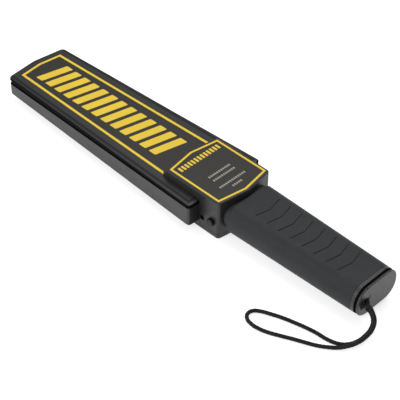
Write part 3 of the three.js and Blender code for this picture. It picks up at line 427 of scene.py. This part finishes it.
def in_groove(place):
    """Whether a face of the front shell is in the groove, or on the thin lip over it."""
    edge_foot = along_blade(place.x, edge_foot_at_tip, edge_foot_at_rear)
    return place.x < groove_rear_x and place.z < edge_foot


def on_edge(place):
    """Whether a face is the upper part of the blade's rounded edge, just below the flat top."""
    below = along_blade(place.x, blade_face_at_tip, blade_face_at_rear) - place.z
    flat_half = along_blade(place.x, flat_half_at_tip, flat_half_at_rear)
    beside = abs(place.y) > flat_half or place.x < flat_tip_x
    return beside and edge_below_top[0] < below < edge_below_top[1]


def on_rim(place):
    """Whether a face of the rear shell is the blade wall's top, under the groove."""
    seam = along_blade(place.x, seam_at_tip, seam_at_rear)
    return place.x < groove_rear_x and place.z > seam - rim_reach


front_black = moulded(
    "front_shell_black", (0.019, 0.0192, 0.0202), (0.075, 0.076, 0.08), 0.4, shine=0.44
)
# Painted dark reflection on the upper part of the blade's rounded edge.
edge_painted_reflection = moulded(
    "blade_edge_black", (0.0085, 0.0085, 0.0088), (0.05, 0.05, 0.052), 0.5, shine=0.25
)
# Painted shade on the ends of the blade's wall in the corner beside the hood.
end_painted_shade = moulded(
    "blade_end_black", (0.009, 0.009, 0.0093), (0.03, 0.03, 0.03), 0.62, shine=0.25
)
# Painted shade, near black, for the groove, the lip over it, the rim under it and the cap's groove
# and slits.
groove_painted_shade = moulded(
    "groove_painted_shade", (0.004, 0.004, 0.0042), (0.006, 0.006, 0.006), 0.85, shine=0.1
)
softened(
    "front_housing", "front_shell", "wand", housing_edge, front_black,
    others=((at_blade_end, end_painted_shade), (in_groove, groove_painted_shade), (on_edge, edge_painted_reflection)),
)


# Rear shell: the lower half of the housing, with the base plate under the hood. Same resin from
# another tool, in a paler colour than the front shell's, and its walls show the climbing seam's
# lower edge. The top of its blade wall under the groove and the wall's ends beside the hood get
# painted shade.
rear_black = moulded(
    "rear_shell_black", (0.032, 0.032, 0.033), (0.09, 0.09, 0.092), 0.46, shine=0.45
)
softened(
    "rear_housing", "rear_shell", "wand", housing_edge, rear_black,
    others=((at_blade_end, end_painted_shade), (on_rim, groove_painted_shade)),
)


# Blade label: a thin printed film laid in a shallow seat in the blade's top face, glued down.
# Its ink is a border line and a row of plain slanted bars, screened on in yellow.
blade_climb = (blade_face_at_rear - blade_face_at_tip) / (blade_rear_x - blade_tip_x)
film_low, film_thickness, ink_thickness = -0.00035, 0.00025, 0.00003
ink_low = film_low + film_thickness


def level_face(corners, rounding=0):
    """One flat face through a few corners, each of them rounded if there is a rounding."""
    work = bmesh.new()
    work.faces.new([work.verts.new((x, y, 0)) for x, y in corners])
    work.normal_update()
    if rounding:
        bmesh.ops.bevel(
            work, geom=work.verts[:], offset=rounding, offset_type="OFFSET", affect="VERTICES",
            segments=4, profile=0.5, clamp_overlap=True, material=-1,
        )
    return work


def kept_as_line(work, width):
    """The face turned into a line of that width along its own edge."""
    inside = work.faces[:]
    bmesh.ops.inset_region(
        work, faces=inside, thickness=width, use_even_offset=True, use_boundary=True
    )
    bmesh.ops.delete(work, geom=inside, context="FACES")


def laid(name, work, low, thickness, finish, climb=False):
    """Flat faces made a thin slab: level at a height, or climbing, from the blade's face up."""
    bmesh.ops.translate(work, verts=work.verts, vec=(0, 0, low))
    grown = bmesh.ops.extrude_face_region(work, geom=work.faces[:])
    top = [part for part in grown["geom"] if isinstance(part, bmesh.types.BMVert)]
    bmesh.ops.translate(work, verts=top, vec=(0, 0, thickness))
    bmesh.ops.recalc_face_normals(work, faces=work.faces)
    if climb:
        tilt = Matrix.Identity(4)
        tilt[2][0] = blade_climb
        tilt[2][3] = blade_face_at_tip - blade_climb * blade_tip_x
        bmesh.ops.transform(work, matrix=tilt, verts=work.verts)
    mesh = bpy.data.meshes.new(name)
    work.to_mesh(mesh)
    work.free()
    mesh.materials.append(finish)
    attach(placed(name, mesh), "wand")


def mottled(tree, share, colour, low, high):
    """A colour that goes with a share from low times itself to high times itself."""
    return blended(tree, share, [c * low for c in colour], [c * high for c in colour])


def film_finish(name, colour, roughness):
    """Printed film with a satin top: fine orange peel, dust specks and long faint scratches."""
    made, tree, place = begun_finish(name, {"Specular IOR Level": 0.37})
    peel = read_at(tree, place, Scale=700.0, Detail=2.0)
    stretch = read_at(
        tree, place, "Mapping", "Vector", Scale=(60, 900, 900), Rotation=(0, 0, 0.35)
    )
    streak = read_at(tree, stretch, Scale=1.0, Detail=3.0)
    specks = read_at(tree, place, "TexVoronoi", "Distance", Scale=240.0)
    dust = ranged(tree, specks, 0.03, 0.08, 0.22, 0.0)
    tone = mottled(tree, spread(tree, peel), colour, 0.93, 1.07)
    dusty = blended(tree, dust, tone, (0.3, 0.3, 0.29))
    scratched = ranged(tree, streak, 0.66, 0.74, 0.0, 0.16)
    rough = calculated(
        tree, "ADD", scratched, spread(tree, peel, roughness - 0.03, roughness + 0.03)
    )
    height = calculated(tree, "SUBTRACT", peel, scratched)
    return connected(made, {"Colour": dusty, "Roughness": rough, "Height": height}, relief=0.00003)


def ink_finish(name, colour):
    """Screened ink: the mesh's faint weave in it, thin spots, and a satin surface."""
    made, tree, place = begun_finish(name, {"Specular IOR Level": 0.25})
    weave = read_at(tree, place, Scale=1800.0, Detail=1.0)
    patch = read_at(tree, place, Scale=55.0, Detail=4.0)
    cover = calculated(tree, "ADD", spread(tree, patch, 0.0, 0.6), spread(tree, weave, 0.0, 0.4))
    tone = mottled(tree, cover, colour, 0.93, 1.04)
    rough = spread(tree, patch, 0.38, 0.5)
    return connected(made, {"Colour": tone, "Roughness": rough, "Height": weave}, relief=0.00002)


film_black = film_finish("label_film_black", (0.0225, 0.0208, 0.0182), 0.4)
ink_yellow = ink_finish("ink_yellow", (0.86, 0.605, 0.05))
ink_pale = ink_finish("ink_pale_grey", (0.4, 0.38, 0.32))

# The film and the border stop where the hood's leaning front meets the blade in a peak.
hood_foot_peak = -0.0056
hood_peak = 0.0044
hood_foot_lean = hood_peak / hood_half
film_half = 0.0282
film_rear_x = hood_foot_peak + hood_foot_lean * film_half
film_corners = [
    (film_rear_x, film_half),
    (-0.19465, 0.02345),
    (-0.19735, 0.0),
    (-0.19465, -0.02345),
    (film_rear_x, -film_half),
    (hood_foot_peak, 0.0),
]
border_corners = [
    (-0.0013, 0.0282),
    (-0.1940, 0.0229),
    (-0.1966, 0.0),
    (-0.1940, -0.0229),
    (-0.0013, -0.0282),
]
border_width = 0.0025


def cleared_of_hood(work):
    """What would lie under the hood's peaked front cut away, on one side and then the other."""
    cut_within, merged_within = 0.0000001, 0.000001
    bmesh.ops.bisect_plane(
        work, geom=work.verts[:] + work.edges[:] + work.faces[:],
        plane_co=(0, 0, 0), plane_no=(0, 1, 0), dist=cut_within,
    )
    for side in (1, -1):
        half = [f for f in work.faces if f.calc_center_median().y * side > 0]
        parts = {*half, *(e for f in half for e in f.edges), *(v for f in half for v in f.verts)}
        bmesh.ops.bisect_plane(
            work, geom=list(parts), plane_co=(hood_foot_peak, 0, 0),
            plane_no=(1, -side * hood_foot_lean, 0), dist=cut_within, clear_outer=True,
        )
    bmesh.ops.remove_doubles(work, verts=work.verts, dist=merged_within)


laid("blade_label", level_face(film_corners), film_low, film_thickness, film_black, climb=True)

blade_border = level_face(border_corners)
kept_as_line(blade_border, border_width)
cleared_of_hood(blade_border)
laid("blade_border_line", blade_border, ink_low, ink_thickness, ink_yellow, climb=True)

bar_count, bar_pitch, bar_first_x = 13, 0.01246, -0.1745
bar_size, bar_slant, bar_rounding = (0.0082, 0.031), 0.007, 0.0009


def bar_row(count, pitch, first, size, rounding, slant=0):
    """A row of equal flat bars with soft corners."""
    (x, y), (width, length) = first, size
    work = level_face([
        (x - (width + slant) / 2, y - length / 2),
        (x + (width - slant) / 2, y - length / 2),
        (x + (width + slant) / 2, y + length / 2),
        (x - (width - slant) / 2, y + length / 2),
    ], rounding)
    one = work.faces[:]
    for k in range(1, count):
        copy = bmesh.ops.duplicate(work, geom=one)
        moved = [part for part in copy["geom"] if isinstance(part, bmesh.types.BMVert)]
        bmesh.ops.translate(work, verts=moved, vec=(pitch[0] * k, pitch[1] * k, 0))
    return work


blade_bars = bar_row(
    bar_count, (bar_pitch, 0), (bar_first_x, 0), bar_size, bar_rounding, bar_slant
)
laid("blade_bars", blade_bars, ink_low, ink_thickness, ink_yellow, climb=True)


# Hood label: the same kind of film in the hood's flat top, with a peaked border line, a row of
# small bars behind its front, and four rows of short pale marks.
hood_top = 0.0378
hood_front_x, hood_rear_x, hood_rear_peak = 0.0040, 0.0647, 0.0046
hood_film_inset, hood_film_rounding = 0.00205, 0.0006
hood_border_inset, hood_border_width = 0.0022, 0.0019
hood_bar_pitch, hood_bar_size = 0.0036, (0.0056, 0.0021)
hood_mark_pitch, hood_mark_size = 0.0023, (0.0021, 0.0014)
hood_print_rounding = 0.0003


def hood_outline(inset):
    """Corners of the hood's top face, drawn in by some way from its edge."""
    front, rear, half = hood_front_x + inset, hood_rear_x - inset, hood_half - inset
    return [
        (front, -half), (rear, -half), (rear + hood_rear_peak, 0),
        (rear, half), (front, half), (front - hood_peak, 0),
    ]


hood_film = level_face(hood_outline(hood_film_inset), hood_film_rounding)
laid("hood_label", hood_film, hood_top + film_low, film_thickness, film_black)

hood_border = level_face(hood_outline(hood_border_inset))
kept_as_line(hood_border, hood_border_width)
laid("hood_border_line", hood_border, hood_top + ink_low, ink_thickness, ink_yellow)

for name, row_x, count, pitch, size, ink in (
    ("hood_bars", 0.0128, 13, hood_bar_pitch, hood_bar_size, ink_yellow),
    ("hood_marks_1", 0.0360, 11, hood_mark_pitch, hood_mark_size, ink_pale),
    ("hood_marks_2", 0.0415, 11, hood_mark_pitch, hood_mark_size, ink_pale),
    ("hood_marks_3", 0.0510, 13, hood_mark_pitch, hood_mark_size, ink_pale),
    ("hood_marks_4", 0.0565, 5, hood_mark_pitch, hood_mark_size, ink_pale),
):
    first = (row_x, -pitch * (count - 1) / 2)
    row = bar_row(count, (0, pitch), first, size, hood_print_rounding)
    laid(name, row, hood_top + ink_low, ink_thickness, ink)


# Near-side controls: the earphone socket and the push button stand in the hood's side wall.
# Both are black nylon. The button works a small switch on the board through a plunger.
nylon_black = moulded(
    "control_nylon_black", (0.0045, 0.0045, 0.005), (0.02, 0.02, 0.021), 0.42,
    grain_scale=2600, grain_depth=0.2, rub=0.7, shine=0.3,
)
softened("alarm_button", "push_button", "push_button", 0.0003, nylon_black)
softened("earphone_socket", "jack_socket", "wand", 0.00018, nylon_black)
dull_black = moulded("plunger_black", (0.02, 0.02, 0.021), (0.05, 0.05, 0.05), 0.45, rub=0.3)
softened("button_stem", "button_plunger", "push_button", 0.0001, dull_black)


def metal_finish(name, colour, roughness, brushed=(900, 900, 90)):
    """Bare metal: drawn or turned marks one way, dull patches, and a little tarnish."""
    made, tree, place = begun_finish(name, {})
    stretch = read_at(tree, place, "Mapping", "Vector", Scale=brushed)
    marks = read_at(tree, stretch, Scale=2.0, Detail=3.0)
    patch = read_at(tree, place, Scale=130.0, Detail=4.0)
    tarnish = ranged(tree, patch, 0.5, 0.75, 0.0, 0.5)
    tone = mottled(tree, tarnish, colour, 1, 0.6)
    rough = calculated(
        tree, "ADD", spread(tree, marks, roughness - 0.06, roughness + 0.06),
        calculated(tree, "MULTIPLY", tarnish, 0.2),
    )
    metallic = ranged(tree, tarnish, 0.0, 0.5, 1.0, 0.85)
    outputs = {"Colour": tone, "Roughness": rough, "Metallic": metallic, "Height": marks}
    return connected(made, outputs, relief=0.00001)


switch_steel = metal_finish("stamped_switch_steel", (0.6, 0.6, 0.61), 0.34)
softened("tact_switch_can", "tact_switch", "wand", 0.0002, switch_steel)


# Far-side controls: the slide switch with its ribbed knob, and a red and a green lamp above it.
# The switch body is a steel can, and the lamps are tinted epoxy on bent legs.
softened("power_slide_body", "slide_switch", "wand", 0.00015, switch_steel)
softened("power_slide_knob", "switch_knob", "power_switch", 0.0003, nylon_black)
legs_end_y = 0.0236


def lamp_finish(name, colour):
    """Tinted epoxy over the bulb, and tinned legs behind it."""
    made, tree, place = begun_finish(name, {"Coat Roughness": 0.05, "IOR": 1.54})
    aside = read_at(tree, place, "SeparateXYZ", "Y")
    leg = ranged(tree, aside, legs_end_y - 0.00005, legs_end_y, 1.0, 0.0)
    swirl = read_at(tree, place, Scale=420.0, Detail=3.0)
    deep = mottled(tree, spread(tree, swirl), colour, 0.75, 1)
    tone = blended(tree, leg, deep, (0.55, 0.55, 0.53))
    rough = ranged(tree, leg, 0, 1, 0.12, 0.38)
    coat = ranged(tree, leg, 0, 1, 0.8, 0.0)
    tree.links.new(coat, tree.nodes["Principled BSDF"].inputs["Coat Weight"])
    outputs = {"Colour": tone, "Roughness": rough, "Metallic": leg, "Height": swirl}
    return connected(made, outputs, relief=0.00001)


for name, solid, finish, slot in (
    ("stop_lamp", "red_lamp", lamp_finish("lamp_red", (0.5, 0.012, 0.008)), "red_lens"),
    ("ready_lamp", "green_lamp", lamp_finish("lamp_green", (0.015, 0.32, 0.05)), "green_lens"),
):
    softened(name, solid, "wand", 0.0002, finish)


# Grip: a soft black rubber sleeve over the handle tube, with eight chevron grooves in its top
# for the palm. It's moulded in one and pushed on from the butt.
rubber_black = moulded(
    "grip_rubber_black", (0.021, 0.0235, 0.0255), (0.07, 0.072, 0.076), 0.62,
    grain_scale=1100, grain_depth=0.45, rub=0.45, shine=0.36,
)
softened(
    "grip_rubber_sleeve", "grip_sleeve", "wand", 0.00025, rubber_black, corner=24
)


# Handle tube: black ABS under the grip. Its front end is screwed to the base plate, and its
# bore holds the battery.
tube_black = moulded("handle_tube_black", (0.022, 0.022, 0.024), (0.06, 0.06, 0.06), 0.5, rub=0.3)
softened("handle_tube", "handle_core", "wand", 0.0002, tube_black)


# End cap: a plug that closes the butt, with a shadow groove behind its face plate and a post
# for the wrist strap in the open near corner. A foam pad in it steadies the battery.
cap_black = moulded("end_cap_black", (0.03, 0.03, 0.031), (0.09, 0.09, 0.092), 0.42, rub=0.7)
cap_groove_front, cap_groove_rear = 0.2009, 0.2037
cap_band_x, cap_face_x = 0.1985, 0.2042
lug_low, lug_high, lug_top = 0.0174, 0.0247, 0.0323
lug_face_y, lug_top_y = (-0.00904, -0.00846), (-0.01304, -0.01246)


def in_cap_groove(place):
    """Whether a face of the cap is in its shadow groove, or in one of the two slits by the post."""
    if lug_face_y[0] < place.y < lug_face_y[1] and place.x > cap_face_x:
        return lug_low < place.z < lug_high
    if lug_top_y[0] < place.y < lug_top_y[1] and place.x > cap_band_x:
        return lug_high < place.z < lug_top
    return cap_groove_front < place.x < cap_groove_rear


# The shadow groove and the two slits by the post get the near-black groove material: painted shade
# in them.
softened(
    "end_cap_plug", "end_cap", "end_cap", 0.00025, cap_black,
    others=[(in_cap_groove, groove_painted_shade)],
)


def foam_finish(name, colour, cells):
    """Closed-cell foam: small open cells on the cut face, and a dull grey skin."""
    made, tree, place = begun_finish(name, {"Specular IOR Level": 0.2})
    cell = read_at(tree, place, "TexVoronoi", "Distance", Scale=cells)
    wall = ranged(tree, cell, 0.1, 0.6, 0.0, 1.0)
    # The cell hollows, low in the bump, are darker: painted shade in them.
    tone = mottled(tree, wall, colour, 0.45, 1)
    rough = ranged(tree, wall, 0, 1, 0.98, 0.88)
    return connected(made, {"Colour": tone, "Roughness": rough, "Height": wall}, relief=0.0003)


foam_grey = foam_finish("foam_grey", (0.085, 0.085, 0.09), 900.0)
pad = softened("battery_foam_pad", "battery_pad", "end_cap", 0.0004, foam_grey)


# Battery: a rectangular 9 V block in a rolled metal jacket with two snap terminals. It's left
# plain. Its connector is a moulded strip with a red and a black lead to the board.
jacket_front_x, jacket_rear_x = 0.1430, 0.1858
terminal_rear_x = 0.1410
seam_blur = 0.0002


def jacket_finish():
    """A lacquered steel jacket with rolled seams at its ends, and bare nickel terminals."""
    made, tree, place = begun_finish("battery_jacket", {})
    along = read_at(tree, place, "SeparateXYZ", "X")
    front = ranged(tree, along, terminal_rear_x, terminal_rear_x + seam_blur, 1.0, 0.0)
    seam = calculated(
        tree, "MAXIMUM", ranged(tree, along, jacket_front_x, jacket_front_x + seam_blur, 1.0, 0.0),
        ranged(tree, along, jacket_rear_x - seam_blur, jacket_rear_x, 0.0, 1.0),
    )
    scuff = read_at(tree, place, Scale=160.0, Detail=5.0, Roughness=0.7)
    worn = ranged(tree, scuff, 0.56, 0.64, 0.0, 0.6)
    lacquer = blended(tree, worn, (0.065, 0.07, 0.085), (0.2, 0.2, 0.21))
    ends = blended(tree, seam, lacquer, (0.45, 0.45, 0.46))
    tone = blended(tree, front, ends, (0.6, 0.57, 0.52))
    bare = calculated(tree, "MAXIMUM", front, seam)
    metallic = ranged(tree, bare, 0, 1, 0.5, 1.0)
    rough = calculated(
        tree, "ADD", ranged(tree, bare, 0, 1, 0.34, 0.28), calculated(tree, "MULTIPLY", worn, 0.2)
    )
    height = calculated(tree, "SUBTRACT", scuff, seam)
    outputs = {"Colour": tone, "Roughness": rough, "Metallic": metallic, "Height": height}
    return connected(made, outputs, relief=0.00003)


softened("battery_block", "battery", "wand", 0.0005, jacket_finish())
softened("battery_connector", "battery_snap", "wand", 0.0003, dull_black)


def lead_finish(name, colour):
    """Soft vinyl sleeving: faint draw lines along the lead and a dull shine."""
    made, tree, place = begun_finish(name, {"Specular IOR Level": 0.45})
    drawn = read_at(tree, place, Scale=500.0, Detail=3.0)
    tone = mottled(tree, spread(tree, drawn), colour, 0.85, 1)
    rough = spread(tree, drawn, 0.36, 0.46)
    return connected(made, {"Colour": tone, "Roughness": rough, "Height": drawn}, relief=0.00003)


vinyl_black = lead_finish("vinyl_black", (0.018, 0.018, 0.019))
for name, solid, finish, slot in (
    ("lead_red", "battery_lead_red", lead_finish("vinyl_red", (0.36, 0.012, 0.01)), "red_wire"),
    ("lead_black", "battery_lead_black", vinyl_black, "black_wire"),
    ("lead_to_coil", "coil_lead", vinyl_black, "black_wire"),
):
    softened(name, solid, "wand", 0.0001, finish, corner=60)


# Screws: self-tapping steel with a countersunk head and a cross recess. Eight pull the shells
# together from behind, one holds the handle tube, and two with pan heads hold the board.
screw_steel = metal_finish("zinc_screw_steel", (0.56, 0.57, 0.6), 0.3, brushed=(700, 700, 700))
thread_pitch, thread_height, thread_flank = 0.001, 0.00018, 0.3
shank_radius, point_length = 0.0012, 0.0015
head_radius, head_depth = 0.0024, 0.0015
flat_cross_span, pan_cross_span = 0.0028, 0.0026
screw_sides = 24
smooth_below = math.radians(35)
slot_width, slot_depth = 0.0006, 0.0009
slot_end_taper, slot_side_taper = 0.35, 0.7
merged_points = 0.0000005


def turned(profile):
    """A solid turned about Z from its half profile of radii and heights."""
    work = bmesh.new()
    line = [work.verts.new((radius, 0, height)) for radius, height in profile]
    edges = [work.edges.new(pair) for pair in zip(line, line[1:])]
    bmesh.ops.spin(
        work, geom=line + edges, axis=(0, 0, 1), cent=(0, 0, 0),
        angle=2 * math.pi, steps=screw_sides, use_merge=True,
    )
    bmesh.ops.remove_doubles(work, verts=work.verts, dist=merged_points)
    bmesh.ops.recalc_face_normals(work, faces=work.faces)
    return work


def threaded(head, tip):
    """Half profile of a screw: its head, then a shank with thread ridges that ends in a point."""
    ridges = []
    ridge = head_depth + thread_pitch
    root = shank_radius - thread_height
    flank = thread_flank * thread_pitch
    while ridge < tip - point_length:
        ridges += [(root, ridge - flank), (shank_radius, ridge), (root, ridge + flank)]
        ridge += thread_pitch
    return [*head, *ridges, (root, tip - point_length), (shank_radius / 4, tip), (0, tip)]


def cross_cutter(span):
    """The tapered cross that the driver leaves in a head, its open end at the origin."""
    cutter = bmesh.new()
    for turn in (0, math.pi / 2):
        bar = bmesh.ops.create_cube(cutter, size=1)["verts"]
        bmesh.ops.scale(cutter, verts=bar, vec=(span, slot_width, 2 * slot_depth))
        for vert in bar:
            if vert.co.z > 0:
                vert.co.x *= slot_end_taper
                vert.co.y *= slot_side_taper
        bmesh.ops.rotate(cutter, verts=bar, matrix=Matrix.Rotation(turn, 3, "Z"))
    return cutter


def screw_pattern(name, solid, head, cross_span):
    """A screw's mesh at the origin, as long as its CAD solid, with a cross cut in its head."""
    low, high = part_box(solid)
    screw, cross = turned(threaded(head, high.z - low.z)), cross_cutter(cross_span)
    whole, tool = (placed(label, bpy.data.meshes.new(label)) for label in (name, name + "_cross"))
    for thing, source in ((whole, screw), (tool, cross)):
        source.to_mesh(thing.data)
        source.free()
    cutting = whole.modifiers.new("cross", "BOOLEAN")
    cutting.object = tool
    cutting.operation = "DIFFERENCE"
    cutting.solver = "EXACT"
    cutting.use_self = True
    seen = bpy.context.evaluated_depsgraph_get()
    mesh = bpy.data.meshes.new_from_object(whole.evaluated_get(seen))
    bpy.data.objects.remove(whole)
    bpy.data.objects.remove(tool)
    return mesh


def placed_screw(name, solid, pattern, upside_down=False):
    """One screw on the axis and at the height of its CAD solid."""
    low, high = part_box(solid)
    mesh = pattern.copy()
    mesh.name = name
    if upside_down:
        mesh.transform(Matrix.Rotation(math.pi, 4, "X"))
        mesh.transform(Matrix.Translation((0, 0, high.z)))
    else:
        mesh.transform(Matrix.Translation((0, 0, low.z)))
    mesh.transform(Matrix.Translation(((low.x + high.x) / 2, (low.y + high.y) / 2, 0)))
    mesh.materials.clear()
    mesh.materials.append(screw_steel)
    mesh.shade_smooth()
    mesh.set_sharp_from_angle(angle=smooth_below)
    screw = placed(name, mesh)
    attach(screw, "wand")
    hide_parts(solid)


flat_head = [
    (0, 0), (head_radius - 0.0001, 0), (head_radius, 0.0001), (head_radius, 0.00025),
    (shank_radius, head_depth),
]
case_pattern = screw_pattern("case_screw", "case_screw_1", flat_head, flat_cross_span)
for number in range(1, 9):
    placed_screw(f"housing_screw_{number}", f"case_screw_{number}", case_pattern)
handle_pattern = screw_pattern("handle_screw", "handle_screw", flat_head, flat_cross_span)
placed_screw("handle_tube_screw", "handle_screw", handle_pattern)

board_low, board_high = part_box("board_screw_1")
pan_radius = (board_high.x - board_low.x) / 2
pan_head = [
    (0, 0), (pan_radius * 0.7, 0.0001), (pan_radius * 0.93, 0.00045), (pan_radius, 0.0009),
    (pan_radius, head_depth), (shank_radius, head_depth),
]
pan_pattern = screw_pattern("board_screw", "board_screw_1", pan_head, pan_cross_span)
for number in (1, 2):
    placed_screw(f"board_fixing_{number}", f"board_screw_{number}", pan_pattern, upside_down=True)


# Circuit board: 1.6 mm glass epoxy under a green solder mask, with tinned pads, standing on two
# pillars. It carries the chip, two capacitors, the trimmer and the sounder under it.
def board_finish():
    """Green mask over copper tracks, tinned pads, and the pale weave of the glass."""
    made, tree, place = begun_finish("board_green_mask", {"Coat Roughness": 0.2})
    tracks = read_at(tree, place, "TexBrick", "Fac", **{
        "Scale": 160.0, "Mortar Size": 0.11, "Mortar Smooth": 0.1,
        "Brick Width": 0.9, "Row Height": 0.3,
    })
    pads = read_at(tree, place, "TexVoronoi", "Distance", Scale=230.0, Randomness=0.35)
    pad = ranged(tree, pads, 0.12, 0.15, 1.0, 0.0)
    weave = read_at(tree, place, Scale=1500.0, Detail=1.0)
    mask = blended(tree, spread(tree, weave), (0.008, 0.09, 0.032), (0.012, 0.115, 0.045))
    tracked = blended(tree, tracks, mask, (0.03, 0.2, 0.07))
    tone = blended(tree, pad, tracked, (0.6, 0.6, 0.58))
    rough = ranged(tree, pad, 0, 1, 0.4, 0.3)
    coat = ranged(tree, pad, 0, 1, 0.5, 0.0)
    tree.links.new(coat, tree.nodes["Principled BSDF"].inputs["Coat Weight"])
    height = calculated(tree, "ADD", tracks, pad)
    outputs = {"Colour": tone, "Roughness": rough, "Metallic": pad, "Height": height}
    return connected(made, outputs, relief=0.00004)


softened("control_board", "main_board", "wand", 0.0001, board_finish())
epoxy_black = moulded(
    "component_epoxy_black", (0.015, 0.015, 0.016), (0.05, 0.05, 0.05), 0.5,
    grain_scale=3200, grain_depth=0.35, rub=0.3,
)
softened("signal_chip", "processor_chip", "wand", 0.00012, epoxy_black)
softened("sounder", "buzzer", "wand", 0.0003, epoxy_black)


def can_finish():
    """An aluminium can in a black shrink sleeve, with its scored end left bare."""
    made, tree, place = begun_finish("capacitor_sleeve", {})
    up = read_at(tree, place, "SeparateXYZ", "Z")
    can_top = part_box("capacitor_1")[1].z
    bare = ranged(tree, up, can_top - 0.0003, can_top - 0.0002, 0.0, 1.0)
    crease = read_at(tree, place, Scale=600.0, Detail=3.0)
    sleeve = blended(tree, spread(tree, crease), (0.012, 0.012, 0.014), (0.02, 0.02, 0.022))
    tone = blended(tree, bare, sleeve, (0.62, 0.62, 0.63))
    rough = spread(tree, crease, 0.28, 0.36)
    outputs = {"Colour": tone, "Roughness": rough, "Metallic": bare, "Height": crease}
    return connected(made, outputs, relief=0.00003)


can_black = can_finish()
for number in (1, 2):
    softened(
        f"storage_can_{number}", f"capacitor_{number}", "wand", 0.0002, can_black
    )
trimmer_blue = moulded("trimmer_blue", (0.03, 0.13, 0.4), (0.1, 0.22, 0.5), 0.38, rub=0.3)
softened("level_trimmer", "sensitivity_trimmer", "wand", 0.00015, trimmer_blue)
turned_brass = metal_finish("turned_brass", (0.66, 0.45, 0.17), 0.3)
softened("level_rotor", "trimmer_rotor", "trimmer_rotor", 0.0001, turned_brass)


# Silent alarm: a small round motor in two saddles under the hood's top, with an off-centre
# brass weight pressed on its shaft.
motor_steel = metal_finish("rolled_motor_steel", (0.58, 0.58, 0.6), 0.32, brushed=(120, 900, 900))
softened("alarm_motor", "vibration_motor", "wand", 0.00035, motor_steel)
softened("motor_weight", "eccentric_weight", "eccentric_weight", 0.00015, turned_brass)


# Search coil: a moulded racetrack tray on the blade's floor with two windings of lacquered wire
# in its channels, and a foam strip over it that holds it down.
tray_cream = moulded("coil_tray_cream", (0.6, 0.55, 0.42), (0.7, 0.66, 0.55), 0.5, rub=0.3)
softened("coil_tray", "coil_former", "wand", 0.0002, tray_cream)
softened("coil_foam_strip", "coil_foam", "wand", 0.0006, foam_grey)


def winding_finish():
    """Fine enamelled copper laid turn by turn round the racetrack, under clear lacquer."""
    wire_pitch = 0.0003
    made, tree, place = begun_finish("wound_copper", {"Coat Roughness": 0.15})
    x, y, z = (read_at(tree, place, "SeparateXYZ", axis) for axis in "XYZ")
    low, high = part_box("transmit_winding")
    middle = (low.x + high.x) / 2
    straight = (high.x - low.x) / 2 - (high.y - low.y) / 2
    aside = calculated(tree, "ABSOLUTE", calculated(tree, "SUBTRACT", x, middle))
    past = calculated(tree, "MAXIMUM", calculated(tree, "SUBTRACT", aside, straight))
    squares = [
        calculated(tree, "POWER", side, 2) for side in (past, calculated(tree, "ABSOLUTE", y))
    ]
    out = calculated(tree, "SQRT", calculated(tree, "ADD", *squares))
    layer = calculated(tree, "ADD", out, z)
    wire = calculated(tree, "SINE", calculated(tree, "MULTIPLY", layer, 2 * math.pi / wire_pitch))
    # Each turn is pale on its crest and dark in the gap to the next, tied to the bump: painted
    # shade between the turns.
    tone = blended(tree, ranged(tree, wire, -1, 1, 0, 1), (0.12, 0.035, 0.012), (0.5, 0.17, 0.06))
    rough = ranged(tree, wire, -1, 1, 0.5, 0.3)
    metallic = ranged(tree, wire, -1, 1, 0.4, 0.8)
    outputs = {"Colour": tone, "Roughness": rough, "Metallic": metallic, "Height": wire}
    return connected(made, outputs, relief=0.00006)


copper_wire = winding_finish()
softened("transmit_coil", "transmit_winding", "wand", 0.0003, copper_wire)
softened("receive_coil", "receive_winding", "wand", 0.0003, copper_wire)


# Table and light: a plain white sheet under the wand, one broad soft lamp overhead and another
# low on the near side, so that no shadow is deep, and an even grey room. The sheet is clear from
# below, where it would hide the wand's underside.
table_reach, table_z, table_glow = 6, -0.00005, 0.62
room_light = 0.38
table_work = bmesh.new()
bmesh.ops.create_grid(table_work, x_segments=1, y_segments=1, size=table_reach)
bmesh.ops.translate(table_work, verts=table_work.verts, vec=(0, 0, table_z))
table_mesh = bpy.data.meshes.new("table")
table_work.to_mesh(table_mesh)
table_work.free()
table_white = new_material("table_white", {
    "Base Color": (0.8, 0.8, 0.8, 1), "Roughness": 0.9, "Emission Color": (1, 1, 1, 1),
})
tree = table_white.node_tree
shader = tree.nodes["Principled BSDF"]
ray = add_node(tree, "LightPath").outputs
seen_ray = calculated(tree, "MAXIMUM", ray["Is Camera Ray"], calculated(
    tree, "MAXIMUM", ray["Is Glossy Ray"], ray["Is Transmission Ray"]))
tree.links.new(ranged(tree, seen_ray, 0, 1, 0, table_glow), shader.inputs["Emission Strength"])
from_below = add_node(tree, "NewGeometry").outputs["Backfacing"]
tree.links.new(calculated(tree, "SUBTRACT", 1, from_below), shader.inputs["Alpha"])
table_mesh.materials.append(table_white)
placed("table", table_mesh)


def soft_light(name, width, depth, energy, place):
    """A broad lamp at a place, turned to the wand."""
    data = bpy.data.lights.new(name, "AREA")
    data.shape = "RECTANGLE"
    data.size, data.size_y, data.energy = width, depth, energy
    turn = Vector(place).to_track_quat("Z", "Y").to_matrix().to_4x4()
    placed(name, data).matrix_world = Matrix.Translation(place) @ turn


soft_light("soft_lamp", width=1.6, depth=1.1, energy=14.5, place=(-0.25, 0.55, 1.6))
soft_light("side_lamp", width=1.4, depth=0.8, energy=8, place=(-0.1, -1.15, 0.75))

room = bpy.data.worlds.new("room")
room.use_nodes = True
room.node_tree.nodes["Background"].inputs["Color"].default_value = (1, 1, 1, 1)
room.node_tree.nodes["Background"].inputs["Strength"].default_value = room_light
bpy.context.scene.world = room
bpy.context.scene.view_settings.view_transform = "Standard"
